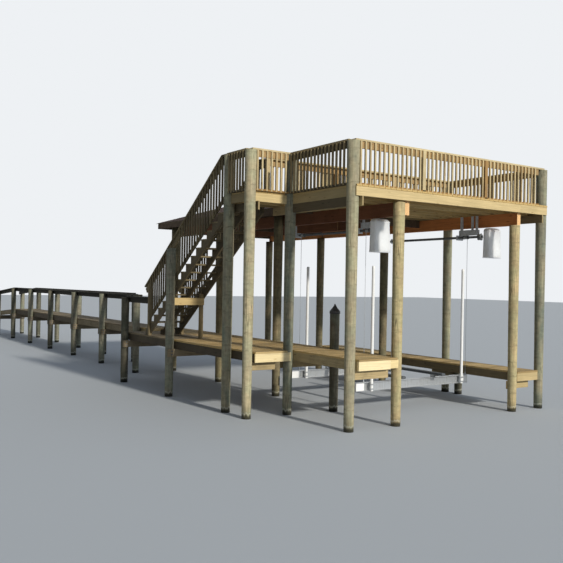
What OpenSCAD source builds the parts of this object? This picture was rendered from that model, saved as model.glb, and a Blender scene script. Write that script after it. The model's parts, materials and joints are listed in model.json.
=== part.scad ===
// Wooden jetty: a dock beside a slip, an upper deck over the slip, a stair up to it,
// a boat lift under it, and a walkway that runs back to the shore in equal bays.
// X runs to the right along the outer end, Y runs back to the shore and Z is up.
// The origin is the centre of the near corner pile, where it meets the water.

/* [Plan] */
// From the near corner pile row to the left pile row of the slip
slip_left = 1223; // [1180:1:1260]
// From the near corner pile row to the right pile row of the slip
slip_right = 4829; // [4780:1:4880]
// From the near corner pile row to the outer pile row
outer_row = 5780; // [5740:1:5820]
// How far the stair's pile row stands outside the near corner row
stair_row = 1034; // [1000:1:1060]
// Depth of the upper deck
upper_depth = 2988; // [2960:1:3020]
// Where the deck steps out towards the stair
tab_start = 2113; // [2080:1:2150]
// Length of one bay of the walkway
bay = 2960; // [2900:10:3000]
// Number of level walkway bays, before the sloping one
level_bays = 5; // [2:1:5]
// Fall of the last bay, down to the shore
ramp_fall = 210; // [150:5:260]

/* [Heights above the water] */
// Top of the dock and the walkway
dock_top = 1400; // [1380:5:1420]
// Top of the lower catwalk on the right of the slip
catwalk_top = 905; // [880:5:930]
// Top of the walkway's rail
walk_rail_top = 2420; // [2380:5:2460]
// Top of the upper deck
upper_top = 4790; // [4770:5:4810]
// Top of the upper deck's rail
rail_top = 5680; // [5650:5:5710]

/* [Piles] */
// Width of a pile at the water
pile_foot_d = 200; // [180:1:210]
// Width of a pile at the height of the upper rail
pile_butt_d = 255; // [235:1:260]

/* [Stair] */
// Number of steps up from the dock to the upper deck
risers = 18; // [17:1:19]
// Depth of one step
tread_run = 259; // [250:1:265]
// Clear height from the nosings to the top of the hand rail
stair_rail_rise = 1090; // [1060:5:1110]

/* [Lift] */
// Length of a lift beam
lift_beam_length = 3520; // [3480:5:3520]
// Height of a lift beam
lift_beam_h = 190; // [170:5:200]
// Underside of the lift beams as the lift hangs
lift_height = 510; // [480:5:540]
// Height of a guide post above the underside of its beam
guide_h = 2760; // [2600:10:2800]

/* [Hidden] */
$fn = 40;

// Sawn lumber: thickness, and widths of the usual boards
thick = 38;
w4 = 89;
w6 = 140;
w8 = 184;
w12 = 286;

// Gap left round a pile that comes up through a deck
notch_gap = 8;
// Width of the gap between two solids that would else touch
part_gap = 4;

// Levels worked out from the deck heights
dock_under = dock_top - thick;
stringer_under = dock_under - w8;
upper_under = upper_top - thick;
joist_under = upper_under - w8;
girder_under = joist_under - w12;
pile_rail_top = rail_top - thick;
walk_pile_top = walk_rail_top - thick;

function pile_r(z) = (pile_foot_d + (pile_butt_d - pile_foot_d) * z / rail_top) / 2;

// Pile places, as [x, y, top]
tall = [
    [0, 0, pile_rail_top], [outer_row, 0, pile_rail_top], [0, tab_start, pile_rail_top],
    [-stair_row, tab_start, pile_rail_top], [-stair_row, upper_depth, pile_rail_top],
    [outer_row, upper_depth - 30, pile_rail_top]
];
row_start = 4400;
rows_y = [row_start, row_start + bay, row_start + 2 * bay];
left_pile_top = joist_under - 30;
girder_piles_at = concat(
    [[slip_left, 0, left_pile_top], [slip_right, 0, girder_under]],
    [for (y = rows_y) [slip_left, y, left_pile_top]],
    [for (y = rows_y) [slip_right, y + 40, girder_under]]
);
short_pile_at = [1150, 1950, 2190];
stair_pile_at = [-stair_row - 130, 5600, 3670];
landing_end_pile = [-stair_row - 130, 8500, walk_pile_top];
catwalk_bays = [2500, 4900, 7440];
low = concat(
    [stair_pile_at, landing_end_pile],
    [for (y = catwalk_bays) [outer_row, y, catwalk_top - thick - w8]]
);

// Walkway
walk_near = -60;
walk_far = 1120;
walk_start = row_start + 2 * bay;
level_end = walk_start + level_bays * bay;
shore_end = level_end + bay;
walk_left = walk_near + pile_r(dock_top) + 2;
walk_right = walk_far - pile_r(dock_top) - 2;
ramp_angle = atan(ramp_fall / bay);
// How far the sloping stringers start behind the bend, and its rails before it
ramp_gap = (dock_top - stringer_under) * tan(ramp_angle) + 6;
rail_lead = (walk_rail_top - dock_top - thick - w6) * tan(ramp_angle) - 2;
walk_bents = [for (i = [0 : level_bays + 1]) walk_start + i * bay];
function fall_at(y) = y > level_end ? (y - level_end) / bay * ramp_fall : 0;
walk_piles_at = concat(
    [for (y = walk_bents) [walk_near, y, walk_pile_top - fall_at(y)]],
    [for (y = walk_bents) if (y > walk_start) [walk_far, y, walk_pile_top - fall_at(y)]]
);

// Dock and landing
dock_left = 100;
dock_right = 1200;
dock_stringer_x = [dock_left, 525, 947];
// The landing is narrower beside the two piles at the head of the stair than behind them
landing_left = -stair_row + pile_r(dock_top) + 2;
landing_wide = -stair_row - 12;
landing_right = dock_left - 15;
landing_start = tab_start - pile_r(dock_top) - thick - 2;
landing_step = upper_depth + pile_r(dock_top) + part_gap;
landing_end = landing_end_pile[1] + 100;
landing_stringer_x = [-620, -338];
fascia_front = -150;

// Girders and beams of the upper deck
girder_w = 3 * thick;
left_girder_x = slip_left + pile_r(left_pile_top);
right_girder_x = slip_right + 24;
girder_start = -50;
girder_end = 10420;
middle_x = (left_girder_x + right_girder_x + girder_w) / 2 - thick;

// Stair
rise = (upper_top - dock_top) / risers;
stair_slope = atan(rise / tread_run);
stair_top_y = upper_depth + 19;
stair_foot_y = stair_top_y + (risers - 1) * tread_run;
stair_left = -stair_row + 20;
stair_right = -110;
newel_y = 7150;
stair_rail_end = newel_y + 220;
stair_rail_depth = 170;
near_rail_x = stair_left - 6;
far_rail_x = stair_right + w4 / 2 + 4;
// Where the hand rail turns from level to sloping
rail_bend_y = stair_top_y + (upper_top + stair_rail_rise - rail_top) / rise * tread_run;
function nosing_z(y) = upper_top - (y - stair_top_y) * rise / tread_run;

// Roof over the back of the slip
eave_left = 820;
eave_right = 5230;
eave_front = 3120;
eave_back = 10780;
eave_z = 4660;
roof_pitch = 1 / 3;
roof_skin = 30;
ridge_x = (eave_left + eave_right) / 2;
roof_half = (eave_right - eave_left) / 2;
ridge_z = eave_z + roof_half * roof_pitch;

// Lift
lift_y = [1350, 3800];
lift_left = 1262;
lift_beam_w = 100;
winder_z = 4050;
winder_r = 30;
winder_start = 860;
winder_end = 4150;
winder_left = 1560;
winder_right = 4710;
guide_x = [1672, 4530];
guide_r = 35;
bunk_x = [2400, 3650];

// A board or block, from its low corner and its size
module board(at, size) {
    translate(at) cube(size);
}

// A round pile, butt end up, cut level at the water
module pile(p) {
    translate([p[0], p[1], 0])
        cylinder(h = p[2], r1 = pile_r(0), r2 = pile_r(p[2]));
}

// The room that a deck leaves round a pile
module pile_room(p) {
    translate([p[0], p[1], 0])
        cylinder(h = p[2] + thick + 1, r = pile_r(p[2]) + notch_gap);
}

// Piles

module tall_piles() {
    color("#8d8a6b")
        for (p = tall)
            pile(p);
}

module girder_piles() {
    color("#a3966b")
        for (p = girder_piles_at)
            pile(p);
}

module low_piles() {
    color("#7d7b63")
        for (p = low)
            pile(p);
}

module short_pile() {
    color("#77755c")
        pile(short_pile_at);
}

// A pointed cap that keeps the rain and the birds off the pile
module short_pile_cap() {
    cap_r = pile_r(short_pile_at[2]);
    color("#1d1d1f")
        translate(short_pile_at)
            rotate_extrude()
                polygon([[0, 0], [cap_r, 0], [cap_r + 10, 0], [cap_r + 10, 60], [12, 215], [0, 222]]);
}

module walkway_piles() {
    color("#6c6c62")
        for (p = walk_piles_at)
            pile(p);
}

// Dock, landing and walkway

// A cap board along X whose ends butt on the piles
module cap_board(x0, x1, y, top) {
    board([x0, y, top - w8], [x1 - x0, thick, w8]);
}

module dock_caps() {
    side = pile_r(stringer_under);
    color("#8a7a54")
        difference() {
            union() {
                cap_board(0, 985, -thick / 2, stringer_under);
                for (y = [tab_start + 60, rows_y[0], rows_y[1]])
                    cap_board(0, slip_left, y + side, stringer_under);
                cap_board(-stair_row, -300, tab_start + thick, stringer_under);
                for (y = [stair_pile_at[1] - side - thick, landing_end_pile[1] - side - thick])
                    cap_board(landing_end_pile[0] - side, 60, y, stringer_under);
            }
            for (p = concat(tall, low, [girder_piles_at[0]]))
                pile(p);
        }
}

module dock_stringers() {
    color("#7c6f50")
        difference() {
            union() {
                for (x = dock_stringer_x)
                    board([x, fascia_front + thick, stringer_under],
                          [thick, walk_start - fascia_front - thick, w8]);
                for (x = landing_stringer_x)
                    board([x, landing_start + thick, stringer_under],
                          [thick, landing_end - landing_start - thick, w8]);
                board([landing_left, landing_start + thick, stringer_under],
                      [thick, landing_step - part_gap - landing_start - thick, w8]);
                board([landing_wide, landing_step, stringer_under],
                      [thick, landing_end - landing_step, w8]);
            }
            for (p = [short_pile_at, tall[0], tall[2]])
                pile(p);
        }
}

module end_fascias() {
    color("#e0c693") {
        board([dock_left + 10, fascia_front, stringer_under], [dock_right - dock_left - 60, thick, w8]);
        board([landing_left, landing_start, stringer_under], [-15 - landing_left, thick, w8]);
    }
}

module dock_deck() {
    color("#b09a6a")
        difference() {
            board([dock_left, fascia_front - 10, dock_under],
                  [dock_right - dock_left, walk_start - fascia_front + 10, thick]);
            for (p = concat(girder_piles_at, tall, [short_pile_at]))
                pile_room(p);
        }
}

module landing_deck() {
    color("#a08d62")
        difference() {
            union() {
                board([landing_left, landing_start - 10, dock_under],
                      [landing_right - landing_left, landing_step - part_gap - landing_start + 10, thick]);
                board([landing_wide, landing_step, dock_under],
                      [landing_right - landing_wide, landing_end - landing_step, thick]);
            }
            pile_room(tall[2]);
        }
}

module walkway_caps() {
    color("#5d5a4e")
        difference() {
            for (y = walk_bents)
                for (s = [-1, 1])
                    board([walk_near - 90, y + s * (pile_r(stringer_under) + thick / 2) - thick / 2,
                           stringer_under - w8 - fall_at(y) - (y + s > level_end ? 12 : 0)],
                          [walk_far - walk_near + 180, thick, w8]);
            for (p = walk_piles_at)
                pile(p);
        }
}

// Turns what lies on the level walkway down to the slope of the last bay
module on_ramp() {
    translate([0, level_end, dock_top])
        rotate([-ramp_angle, 0, 0])
            translate([0, -level_end, -dock_top])
                children();
}

module walkway_stringers() {
    color("#57544a") {
        for (x = [walk_left, (walk_left + walk_right - thick) / 2, walk_right - thick]) {
            board([x, walk_start + part_gap, stringer_under],
                  [thick, level_end - walk_start - 2 * part_gap, w8]);
            on_ramp()
                board([x, level_end + ramp_gap, stringer_under], [thick, bay, w8]);
        }
    }
}

module walkway_deck() {
    color("#6f6a5d") {
        board([walk_left, walk_start + part_gap, dock_under],
              [walk_right - walk_left, level_end - walk_start - part_gap, thick]);
        on_ramp()
            board([walk_left, level_end + 2 * part_gap, dock_under], [walk_right - walk_left, bay, thick]);
    }
}

// A flat cap over the pile tops, and under its inner edge a board on edge
module plain_rail(cap_x, board_x, y0, y1) {
    board([cap_x, y0, walk_rail_top - thick], [w6, y1 - y0, thick]);
    board([board_x, y0, walk_rail_top - thick - w6], [thick, y1 - y0, w6]);
}

module walkway_rail_near() {
    near_inner = walk_near + pile_r(walk_pile_top) - 4;
    end_inner = landing_end_pile[0] + pile_r(walk_pile_top) - 4;
    color("#4f4d48")
        difference() {
            union() {
                plain_rail(near_inner + thick - w6, near_inner, walk_start - 110, level_end);
                on_ramp()
                    plain_rail(near_inner + thick - w6, near_inner, level_end - rail_lead, shore_end + 100);
                plain_rail(end_inner + thick - w6, end_inner, 7240, landing_end_pile[1] + 110);
            }
            for (p = concat(walk_piles_at, low))
                pile(p);
        }
}

module walkway_rail_far() {
    far_inner = walk_far - pile_r(walk_pile_top) + 4 - thick;
    color("#54524c")
        difference() {
            union() {
                plain_rail(far_inner, far_inner, walk_start + bay - 110, level_end);
                on_ramp()
                    plain_rail(far_inner, far_inner, level_end - rail_lead, shore_end + 100);
            }
            for (p = walk_piles_at)
                pile(p);
        }
}

// The lower catwalk along the right of the slip
catwalk_left = slip_right + pile_r(catwalk_top) + 2;
catwalk_right = outer_row - pile_r(catwalk_top) - 2;

module catwalk_frame() {
    under = catwalk_top - thick - w8;
    catwalk_end = catwalk_bays[2] + 100;
    color("#b59c66")
        difference() {
            union() {
                for (x = [catwalk_left, catwalk_right - thick])
                    board([x, thick + part_gap - 60, under], [thick, catwalk_end + 60 - thick - part_gap, w8]);
                board([catwalk_left, -60, under], [catwalk_right - catwalk_left, thick, w8]);
                board([slip_right, 110, under - w8 - 2], [outer_row - 230 - slip_right, thick, w8]);
                for (y = catwalk_bays)
                    board([catwalk_left, y + pile_r(under), under - w8 - 2],
                          [outer_row - catwalk_left, thick, w8]);
            }
            for (p = concat(girder_piles_at, low, tall))
                pile(p);
        }
}

module catwalk_deck() {
    catwalk_end = catwalk_bays[2] + 100;
    color("#a8946a")
        difference() {
            board([catwalk_left, -70, catwalk_top - thick],
                  [catwalk_right - catwalk_left, catwalk_end + 70, thick]);
            for (p = tall)
                pile_room(p);
        }
}

// Upper deck

module left_girder() {
    color("#6b4226")
        board([left_girder_x, girder_start, girder_under],
              [girder_w, girder_end - girder_start, w12]);
}

module right_girder() {
    color("#6b4226")
        board([right_girder_x, girder_start, girder_under],
              [girder_w, girder_end - girder_start, w12]);
}

module middle_beam() {
    color("#5c3a24")
        board([middle_x, upper_depth + 80, girder_under],
              [2 * thick, girder_end - upper_depth - 80, w12]);
}

// Boards on the near pile row and on the stair's pile row, under the joists
module left_beams() {
    face = pile_r(joist_under);
    color("#c9ab72")
        difference() {
            union() {
                board([face - 3, fascia_front, joist_under - w8], [thick, upper_depth - fascia_front, w8]);
                board([-stair_row + face - 3, tab_start - 140, joist_under - w8],
                      [thick, upper_depth - tab_start + 145, w8]);
                board([-thick / 2, 0, joist_under - w8], [thick, tab_start, w8]);
            }
            for (p = tall)
                pile(p);
        }
}

module right_beam() {
    face = pile_r(joist_under);
    color("#c9ab72")
        difference() {
            board([outer_row - face + 3 - thick, fascia_front, joist_under - w8],
                  [thick, upper_depth - fascia_front, w8]);
            for (p = tall)
                pile(p);
        }
}

joist_count = 6;
joist_step = (upper_depth - fascia_front) / (joist_count + 1);

module joists() {
    color("#a58a56")
        difference() {
            for (i = [1 : joist_count]) {
                y = fascia_front + i * joist_step;
                x0 = y > tab_start + 100 ? -stair_row + 19 : 19;
                board([x0 + part_gap, y, joist_under], [outer_row - 19 - part_gap - x0 - part_gap, thick, w8]);
            }
            for (p = tall)
                pile(p);
        }
}

module rim_boards() {
    color("#e3c994")
        difference() {
            union() {
                board([-30, fascia_front, joist_under], [outer_row + 50, thick, w8]);
                board([-19, fascia_front + thick + part_gap, joist_under],
                      [thick, tab_start - fascia_front - thick - part_gap, w8]);
                board([-stair_row, tab_start - 19, joist_under], [stair_row, thick, w8]);
                board([-stair_row - 19, tab_start, joist_under], [thick, upper_depth - tab_start, w8]);
                board([-stair_row, upper_depth - 19, joist_under],
                      [outer_row + stair_row, thick, w8]);
                board([outer_row - 19, fascia_front + thick + part_gap, joist_under],
                      [thick, upper_depth - fascia_front - 2 * thick, w8]);
            }
            for (p = tall)
                pile(p);
        }
}

module upper_deck() {
    overhang = 10;
    color("#cbb07a")
        difference() {
            union() {
                board([-30, fascia_front - overhang, upper_under],
                      [outer_row + 50, upper_depth - fascia_front + overhang + 19, thick]);
                board([-stair_row - 19, tab_start - 29, upper_under],
                      [stair_row - 11 - part_gap, upper_depth - tab_start + 48, thick]);
            }
            for (p = tall)
                pile_room(p);
        }
}

// Railings of the upper deck

low_rail_top = upper_top + thick;
high_rail_under = pile_rail_top - w6;

// Distance from one baluster to the next, about
picket_step = 122;

// One run of railing along X, its outside towards -Y, with posts at the given places.
// Under the cap it may stop short of the run's end
module railing_run(length, posts = [], short = 0) {
    ends = concat([0], posts, [length]);
    board([0, -w6 / 2 - 10, pile_rail_top], [length, w6, thick]);
    board([0, -62, high_rail_under], [length - short, thick, w6]);
    board([0, -w4 - 5, upper_top], [length - short, w4, thick]);
    for (b = [0 : len(posts)]) {
        gaps = round((ends[b + 1] - ends[b]) / picket_step);
        for (i = [1 : gaps - 1])
            board([ends[b] + i * (ends[b + 1] - ends[b]) / gaps - thick / 2, -100, upper_top],
                  [thick, thick, pile_rail_top - upper_top]);
    }
    for (x = posts)
        board([x - w4 / 2, -w4 - 5, upper_top], [w4, w4, pile_rail_top - upper_top]);
}

// Ends the boards of a railing at the piles that carry it
module on_posts() {
    color("#b79a62")
        difference() {
            children();
            for (p = tall)
                pile(p);
        }
}

module front_railing() {
    on_posts()
        railing_run(outer_row, [1830, 3730]);
}

cap_half = w6 / 2;

module left_railing() {
    on_posts()
        translate([0, tab_start, 0])
            rotate(-90)
                railing_run(tab_start - cap_half + 10);
}

module stair_head_railing() {
    on_posts() {
        translate([-stair_row, tab_start, 0])
            railing_run(stair_row - cap_half - 10, short = 30);
        translate([-stair_row, upper_depth, 0])
            rotate(-90)
                railing_run(upper_depth - tab_start - cap_half + 8);
    }
}

module right_railing() {
    on_posts()
        translate([outer_row, cap_half - 10, 0])
            rotate(90)
                railing_run(upper_depth - cap_half + 10, [1470]);
}

// The back railing ends at a post beside the head of the stair
module rear_railing() {
    post_x = far_rail_x - w4 / 2;
    length = outer_row - cap_half - 10 - post_x - w4;
    on_posts() {
        translate([outer_row - cap_half - 10, upper_depth - 80, 0])
            rotate(180)
                railing_run(length, [length / 3, 2 * length / 3]);
        board([post_x, upper_depth - 75, upper_top], [w4, w4, rail_top - upper_top]);
    }
}

// Stair

stringer_depth = 353;

// A notched board from the deck's back edge down to the landing
module stair_stringer(x) {
    sloping_board(x + thick / 2, thick, concat(
        [[stair_top_y, nosing_z(stair_top_y) - stringer_depth], [stair_top_y, upper_top - rise - thick]],
        [for (i = [1 : risers - 2]) each [
            [stair_top_y + i * tread_run, upper_top - i * rise - thick],
            [stair_top_y + i * tread_run, upper_top - (i + 1) * rise - thick]]],
        [[stair_foot_y - 5, dock_top + rise - thick], [stair_foot_y - 5, dock_top],
         [stair_foot_y + tread_run - stringer_depth / tan(stair_slope), dock_top]]
    ));
}

module stair_stringers() {
    color("#6e5a3c")
        difference() {
            for (x = [stair_left, (stair_left + stair_right - thick) / 2, stair_right - thick])
                stair_stringer(x);
            pile(tall[4]);
        }
}

module stair_treads() {
    overhang = 20;
    color("#8c7850")
        difference() {
            for (i = [1 : risers - 1])
                board([stair_left - 2, stair_top_y + (i - 1) * tread_run + 2, upper_top - i * rise - thick],
                      [stair_right - stair_left + 4, tread_run + overhang - 2, thick]);
            pile_room(tall[4]);
        }
}

// Points of a sloping board's side, from two heights over the nosings
function sloping(y0, y1, low, high) = [
    [y0, nosing_z(y0) + high], [y1, nosing_z(y1) + high],
    [y1, nosing_z(y1) + low], [y0, nosing_z(y0) + low]
];

// A board of the stair's slope, drawn in Y and Z and centred on x
module sloping_board(x, wide, outline) {
    translate([x - wide / 2, 0, 0])
        rotate([90, 0, 90])
            linear_extrude(wide)
                polygon(outline);
}

// Points of the side of a board that is level as far as the bend and then slopes
function bent(y0, y1, low, high) = [
    [y0, nosing_z(rail_bend_y) + high], [rail_bend_y, nosing_z(rail_bend_y) + high],
    [y1, nosing_z(y1) + high], [y1, nosing_z(y1) + low],
    [rail_bend_y, nosing_z(rail_bend_y) + low], [y0, nosing_z(rail_bend_y) + low]
];

stair_rail_low = stair_rail_rise - thick - stair_rail_depth;
foot_rail_low = 20;

// One side of the stair's railing: a cap on a board, a foot rail, and upright balusters
// outside them that leave room for the newel and for the pile that carries the stair
module stair_railing(x, out) {
    y0 = stair_top_y - 4;
    balusters = 31;
    step = (newel_y - y0) / (balusters + 1);
    sloping_board(x, thick, bent(y0, stair_rail_end, stair_rail_low, stair_rail_rise - thick));
    sloping_board(x, w6, bent(y0, stair_rail_end, stair_rail_rise - thick - 6, stair_rail_rise));
    sloping_board(x, thick, sloping(y0, newel_y - w4 / 2, foot_rail_low, foot_rail_low + 110));
    for (i = [1 : balusters]) {
        y = y0 + i * step;
        foot = nosing_z(y) - 40;
        if (abs(y - stair_pile_at[1]) > 140 && newel_y - y > w4)
            board([x + out * thick - thick / 2, y - thick / 2, foot],
                  [thick, thick, min(stair_rail_rise, rail_top - thick - foot)]);
    }
}

module stair_railings() {
    color("#5a4a34")
        difference() {
            union() {
                stair_railing(near_rail_x, -1);
                stair_railing(far_rail_x, 1);
            }
            pile(stair_pile_at);
            pile(tall[4]);
        }
}

// A newel post that ends under the sloping rail
module newel(x, foot) {
    y0 = newel_y - w4 / 2;
    y1 = newel_y + w4 / 2;
    sloping_board(x, w4, [
        [y0, foot], [y1, foot], [y1, nosing_z(y1) + stair_rail_low], [y0, nosing_z(y0) + stair_rail_low]
    ]);
}

module stair_posts() {
    support_y = stair_pile_at[1] + pile_r(2300);
    support_post_x = -245;
    support_top = 2438;
    color("#9a8458") {
        board([support_post_x, support_y + thick + 2, dock_top],
              [w4, w4, support_top - dock_top + 100]);
        difference() {
            union() {
                newel(near_rail_x, dock_top);
                newel(far_rail_x, dock_top);
                board([stair_pile_at[0], support_y, support_top - w8],
                      [support_post_x + w4 - stair_pile_at[0], thick, w8]);
            }
            pile(stair_pile_at);
            stair_stringers();
            stair_treads();
        }
    }
}

// Roof over the back of the slip

// A slab of even depth under a flat outline of corner points, each [x, y, z]
module slab_under(top, depth) {
    n = len(top);
    polyhedron(
        points = concat(top, [for (p = top) [p[0], p[1], p[2] - depth]]),
        faces = concat(
            [[for (i = [n - 1 : -1 : 0]) i]],
            [[for (i = [0 : n - 1]) n + i]],
            [for (i = [0 : n - 1]) [i, (i + 1) % n, n + (i + 1) % n, n + i]]
        )
    );
}

module roof_slopes() {
    g = 3;
    hip_front = eave_front + roof_half;
    hip_back = eave_back - roof_half;
    lift = roof_skin;
    z0 = eave_z + lift;
    z1 = ridge_z + lift;
    color("#5a544f") {
        slab_under([[eave_left, eave_front + 2 * g, z0], [ridge_x - g, hip_front + g, z1],
                    [ridge_x - g, hip_back - g, z1], [eave_left, eave_back - 2 * g, z0]], roof_skin);
        slab_under([[eave_right, eave_back - 2 * g, z0], [ridge_x + g, hip_back - g, z1],
                    [ridge_x + g, hip_front + g, z1], [eave_right, eave_front + 2 * g, z0]], roof_skin);
        slab_under([[eave_right - 2 * g, eave_front, z0], [ridge_x, hip_front - 2 * g, z1],
                    [eave_left + 2 * g, eave_front, z0]], roof_skin);
        slab_under([[eave_left + 2 * g, eave_back, z0], [ridge_x, hip_back + 2 * g, z1],
                    [eave_right - 2 * g, eave_back, z0]], roof_skin);
    }
}

rafters = 7;

// Underside of the roof skin at a distance in from the eave
function roof_under(d) = eave_z + d * roof_pitch;

module rafter_pair(y) {
    depth = w6 + 8;
    foot = roof_half - thick - 1;
    head = thick / 2 + 1;
    for (s = [-1, 1])
        translate([ridge_x, y + thick / 2, 0])
            rotate([90, 0, 0])
                linear_extrude(thick)
                    polygon([
                        [s * foot, roof_under(roof_half - foot)],
                        [s * head, roof_under(roof_half - head)],
                        [s * head, roof_under(roof_half - head) - depth],
                        [s * foot, roof_under(roof_half - foot) - depth]
                    ]);
}

module roof_frame() {
    hip_front = eave_front + roof_half;
    hip_back = eave_back - roof_half;
    color("#4a3a2b") {
        difference() {
            for (i = [0 : rafters - 1])
                rafter_pair(hip_front + i * (hip_back - hip_front - thick) / (rafters - 1));
            wall_plates(1);
        }
        wall_plates(0);
        board([ridge_x - thick / 2, hip_front, ridge_z - w8 - 12], [thick, hip_back - hip_front, w8]);
        for (x = [eave_left, eave_right - thick])
            board([x, eave_front, eave_z - w6], [thick, eave_back - eave_front, w6]);
        difference() {
            for (y = [eave_front, eave_back - thick])
                board([eave_left + thick + 1, y, eave_z - w6],
                      [eave_right - eave_left - 2 * thick - 2, thick, w6]);
            left_girder();
            right_girder();
            middle_beam();
        }
        for (y = [eave_front - 20, row_start + bay, girder_end - 60])
            for (x = [[left_girder_x + girder_w, middle_x], [middle_x + 2 * thick, right_girder_x]])
                board([x[0], y, joist_under - w8], [x[1] - x[0], thick, w8 - part_gap]);
    }
}

// Two boards on each girder that the rafters stand on, with room left round them
module wall_plates(room) {
    for (x = [left_girder_x, right_girder_x])
        board([x - room, eave_front + thick + 1, joist_under],
              [w4 + 2 * room, girder_end - eave_front - thick, 2 * thick + room]);
}

// Lift

// A wide-flange beam along X, standing on its lower flange
module flange_beam(length) {
    flange = 14;
    web = 10;
    rotate([90, 0, 90])
        linear_extrude(length)
            polygon([
                [-lift_beam_w / 2, 0], [lift_beam_w / 2, 0], [lift_beam_w / 2, flange],
                [web / 2, flange], [web / 2, lift_beam_h - flange],
                [lift_beam_w / 2, lift_beam_h - flange], [lift_beam_w / 2, lift_beam_h],
                [-lift_beam_w / 2, lift_beam_h], [-lift_beam_w / 2, lift_beam_h - flange],
                [-web / 2, lift_beam_h - flange], [-web / 2, flange], [-lift_beam_w / 2, flange]
            ]);
}

module lift_beams() {
    color("#c9ccd0")
        for (y = lift_y)
            translate([lift_left, y, lift_height])
                flange_beam(lift_beam_length);
}

module lift_beam_ends() {
    end_length = 230;
    color("#f2f2f0")
        for (y = lift_y)
            for (x = [lift_left, lift_left + lift_beam_length - end_length])
                for (s = [-1, 1])
                    board([x, y + (s > 0 ? 5 : -lift_beam_w / 2), lift_height + 14],
                          [end_length, lift_beam_w / 2 - 5, lift_beam_h - 28]);
}

module lift_guides() {
    color("#f5f5f3")
        for (y = lift_y)
            for (x = guide_x)
                translate([x, y - lift_beam_w / 2 - guide_r, lift_height]) {
                    cylinder(h = guide_h, r = guide_r);
                    board([-guide_r - 10, -8, 20], [2 * guide_r + 20, guide_r + 8, lift_beam_h - 40]);
                }
}

module lift_bunks() {
    color("#8b8f92")
        for (x = bunk_x) {
            board([x - 60, lift_y[0] - 350, lift_height + lift_beam_h + 60],
                  [120, lift_y[1] - lift_y[0] + 700, 60]);
            for (y = lift_y)
                board([x - 45, y - 40, lift_height + lift_beam_h], [90, 80, 60]);
        }
}

module lift_winders() {
    color("#5b5f63")
        for (x = [winder_left, winder_right]) {
            translate([x, winder_start, winder_z])
                rotate([-90, 0, 0])
                    cylinder(h = winder_end - winder_start, r = winder_r);
            board([x - 65, winder_start, winder_z - 85], [130, 110, 170]);
            for (y = lift_y)
                translate([x, y - 60, winder_z])
                    rotate([-90, 0, 0])
                        cylinder(h = 120, r = winder_r + 12);
        }
}

module hanger(x, y, girder_x) {
    plate = 8;
    wide = 76;
    slip_side = x < ridge_x ? girder_x + girder_w : girder_x - plate;
    board([slip_side, y, winder_z - 60], [plate, wide, joist_under - winder_z + 50]);
    difference() {
        board([min(x - 55, slip_side), y + 20, winder_z - 60], [abs(x - slip_side) + 55, 30, 120]);
        translate([x, y - 10, winder_z])
            rotate([-90, 0, 0])
                cylinder(h = 100, r = winder_r);
    }
}

// The channel that carries a motor's gearbox, on three straps from the joists
module motor_channel(x) {
    low = winder_z + 46;
    board([x - 50, winder_start + 115, low], [100, 560, 130]);
    for (y = [winder_start + 125, winder_start + 260, winder_start + 605])
        board([x - 12, y, low + 120], [24, 60, joist_under - 12 - low - 120]);
}

module lift_hangers() {
    color("#b9bdc1") {
        for (y = [1570, 3935]) {
            hanger(winder_left, y, left_girder_x);
            hanger(winder_right, y, right_girder_x);
        }
        motor_channel(winder_left);
        motor_channel(winder_right);
    }
}

cover_width = 450;
cover_depth = 205;
cover_foot_z = 3545;

// A tall flat hood over the motor and its pulleys, a little narrower at the top
module motor_cover(x) {
    translate([x, winder_start - 1 - cover_depth, cover_foot_z])
        hull() {
            board([0, 0, 0], [cover_width, cover_depth, 30]);
            board([14, 12, 640], [cover_width - 28, cover_depth - 12, 30]);
            board([50, 40, 695], [cover_width - 100, cover_depth - 40, 20]);
        }
}

module lift_motor_covers() {
    color("#f4f5f5") {
        motor_cover(winder_left + 60 - cover_width);
        motor_cover(winder_right + 25);
    }
}

module lift_cables() {
    color("#9da2a6")
        for (y = lift_y)
            for (x = [winder_left, winder_right])
                translate([x + (x < ridge_x ? -winder_r - 18 : winder_r + 18), y, lift_height + lift_beam_h])
                    cylinder(h = winder_z - lift_height - lift_beam_h, r = 5);
}

tall_piles();
girder_piles();
low_piles();
short_pile();
short_pile_cap();
walkway_piles();
dock_caps();
dock_stringers();
end_fascias();
dock_deck();
landing_deck();
walkway_caps();
walkway_stringers();
walkway_deck();
walkway_rail_near();
walkway_rail_far();
catwalk_frame();
catwalk_deck();
left_girder();
right_girder();
middle_beam();
left_beams();
right_beam();
joists();
rim_boards();
upper_deck();
front_railing();
left_railing();
stair_head_railing();
right_railing();
rear_railing();
stair_stringers();
stair_treads();
stair_railings();
stair_posts();
roof_frame();
roof_slopes();
lift_hangers();
lift_winders();
lift_motor_covers();
lift_beams();
lift_beam_ends();
lift_guides();
lift_bunks();
lift_cables();
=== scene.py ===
"""Dresses the wooden jetty: boards, piles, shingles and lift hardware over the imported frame."""
from __future__ import annotations

import json
import logging
import math
import random
from dataclasses import dataclass, field
from enum import Enum

import bmesh
import bpy
from mathutils import Matrix, Vector

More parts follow.
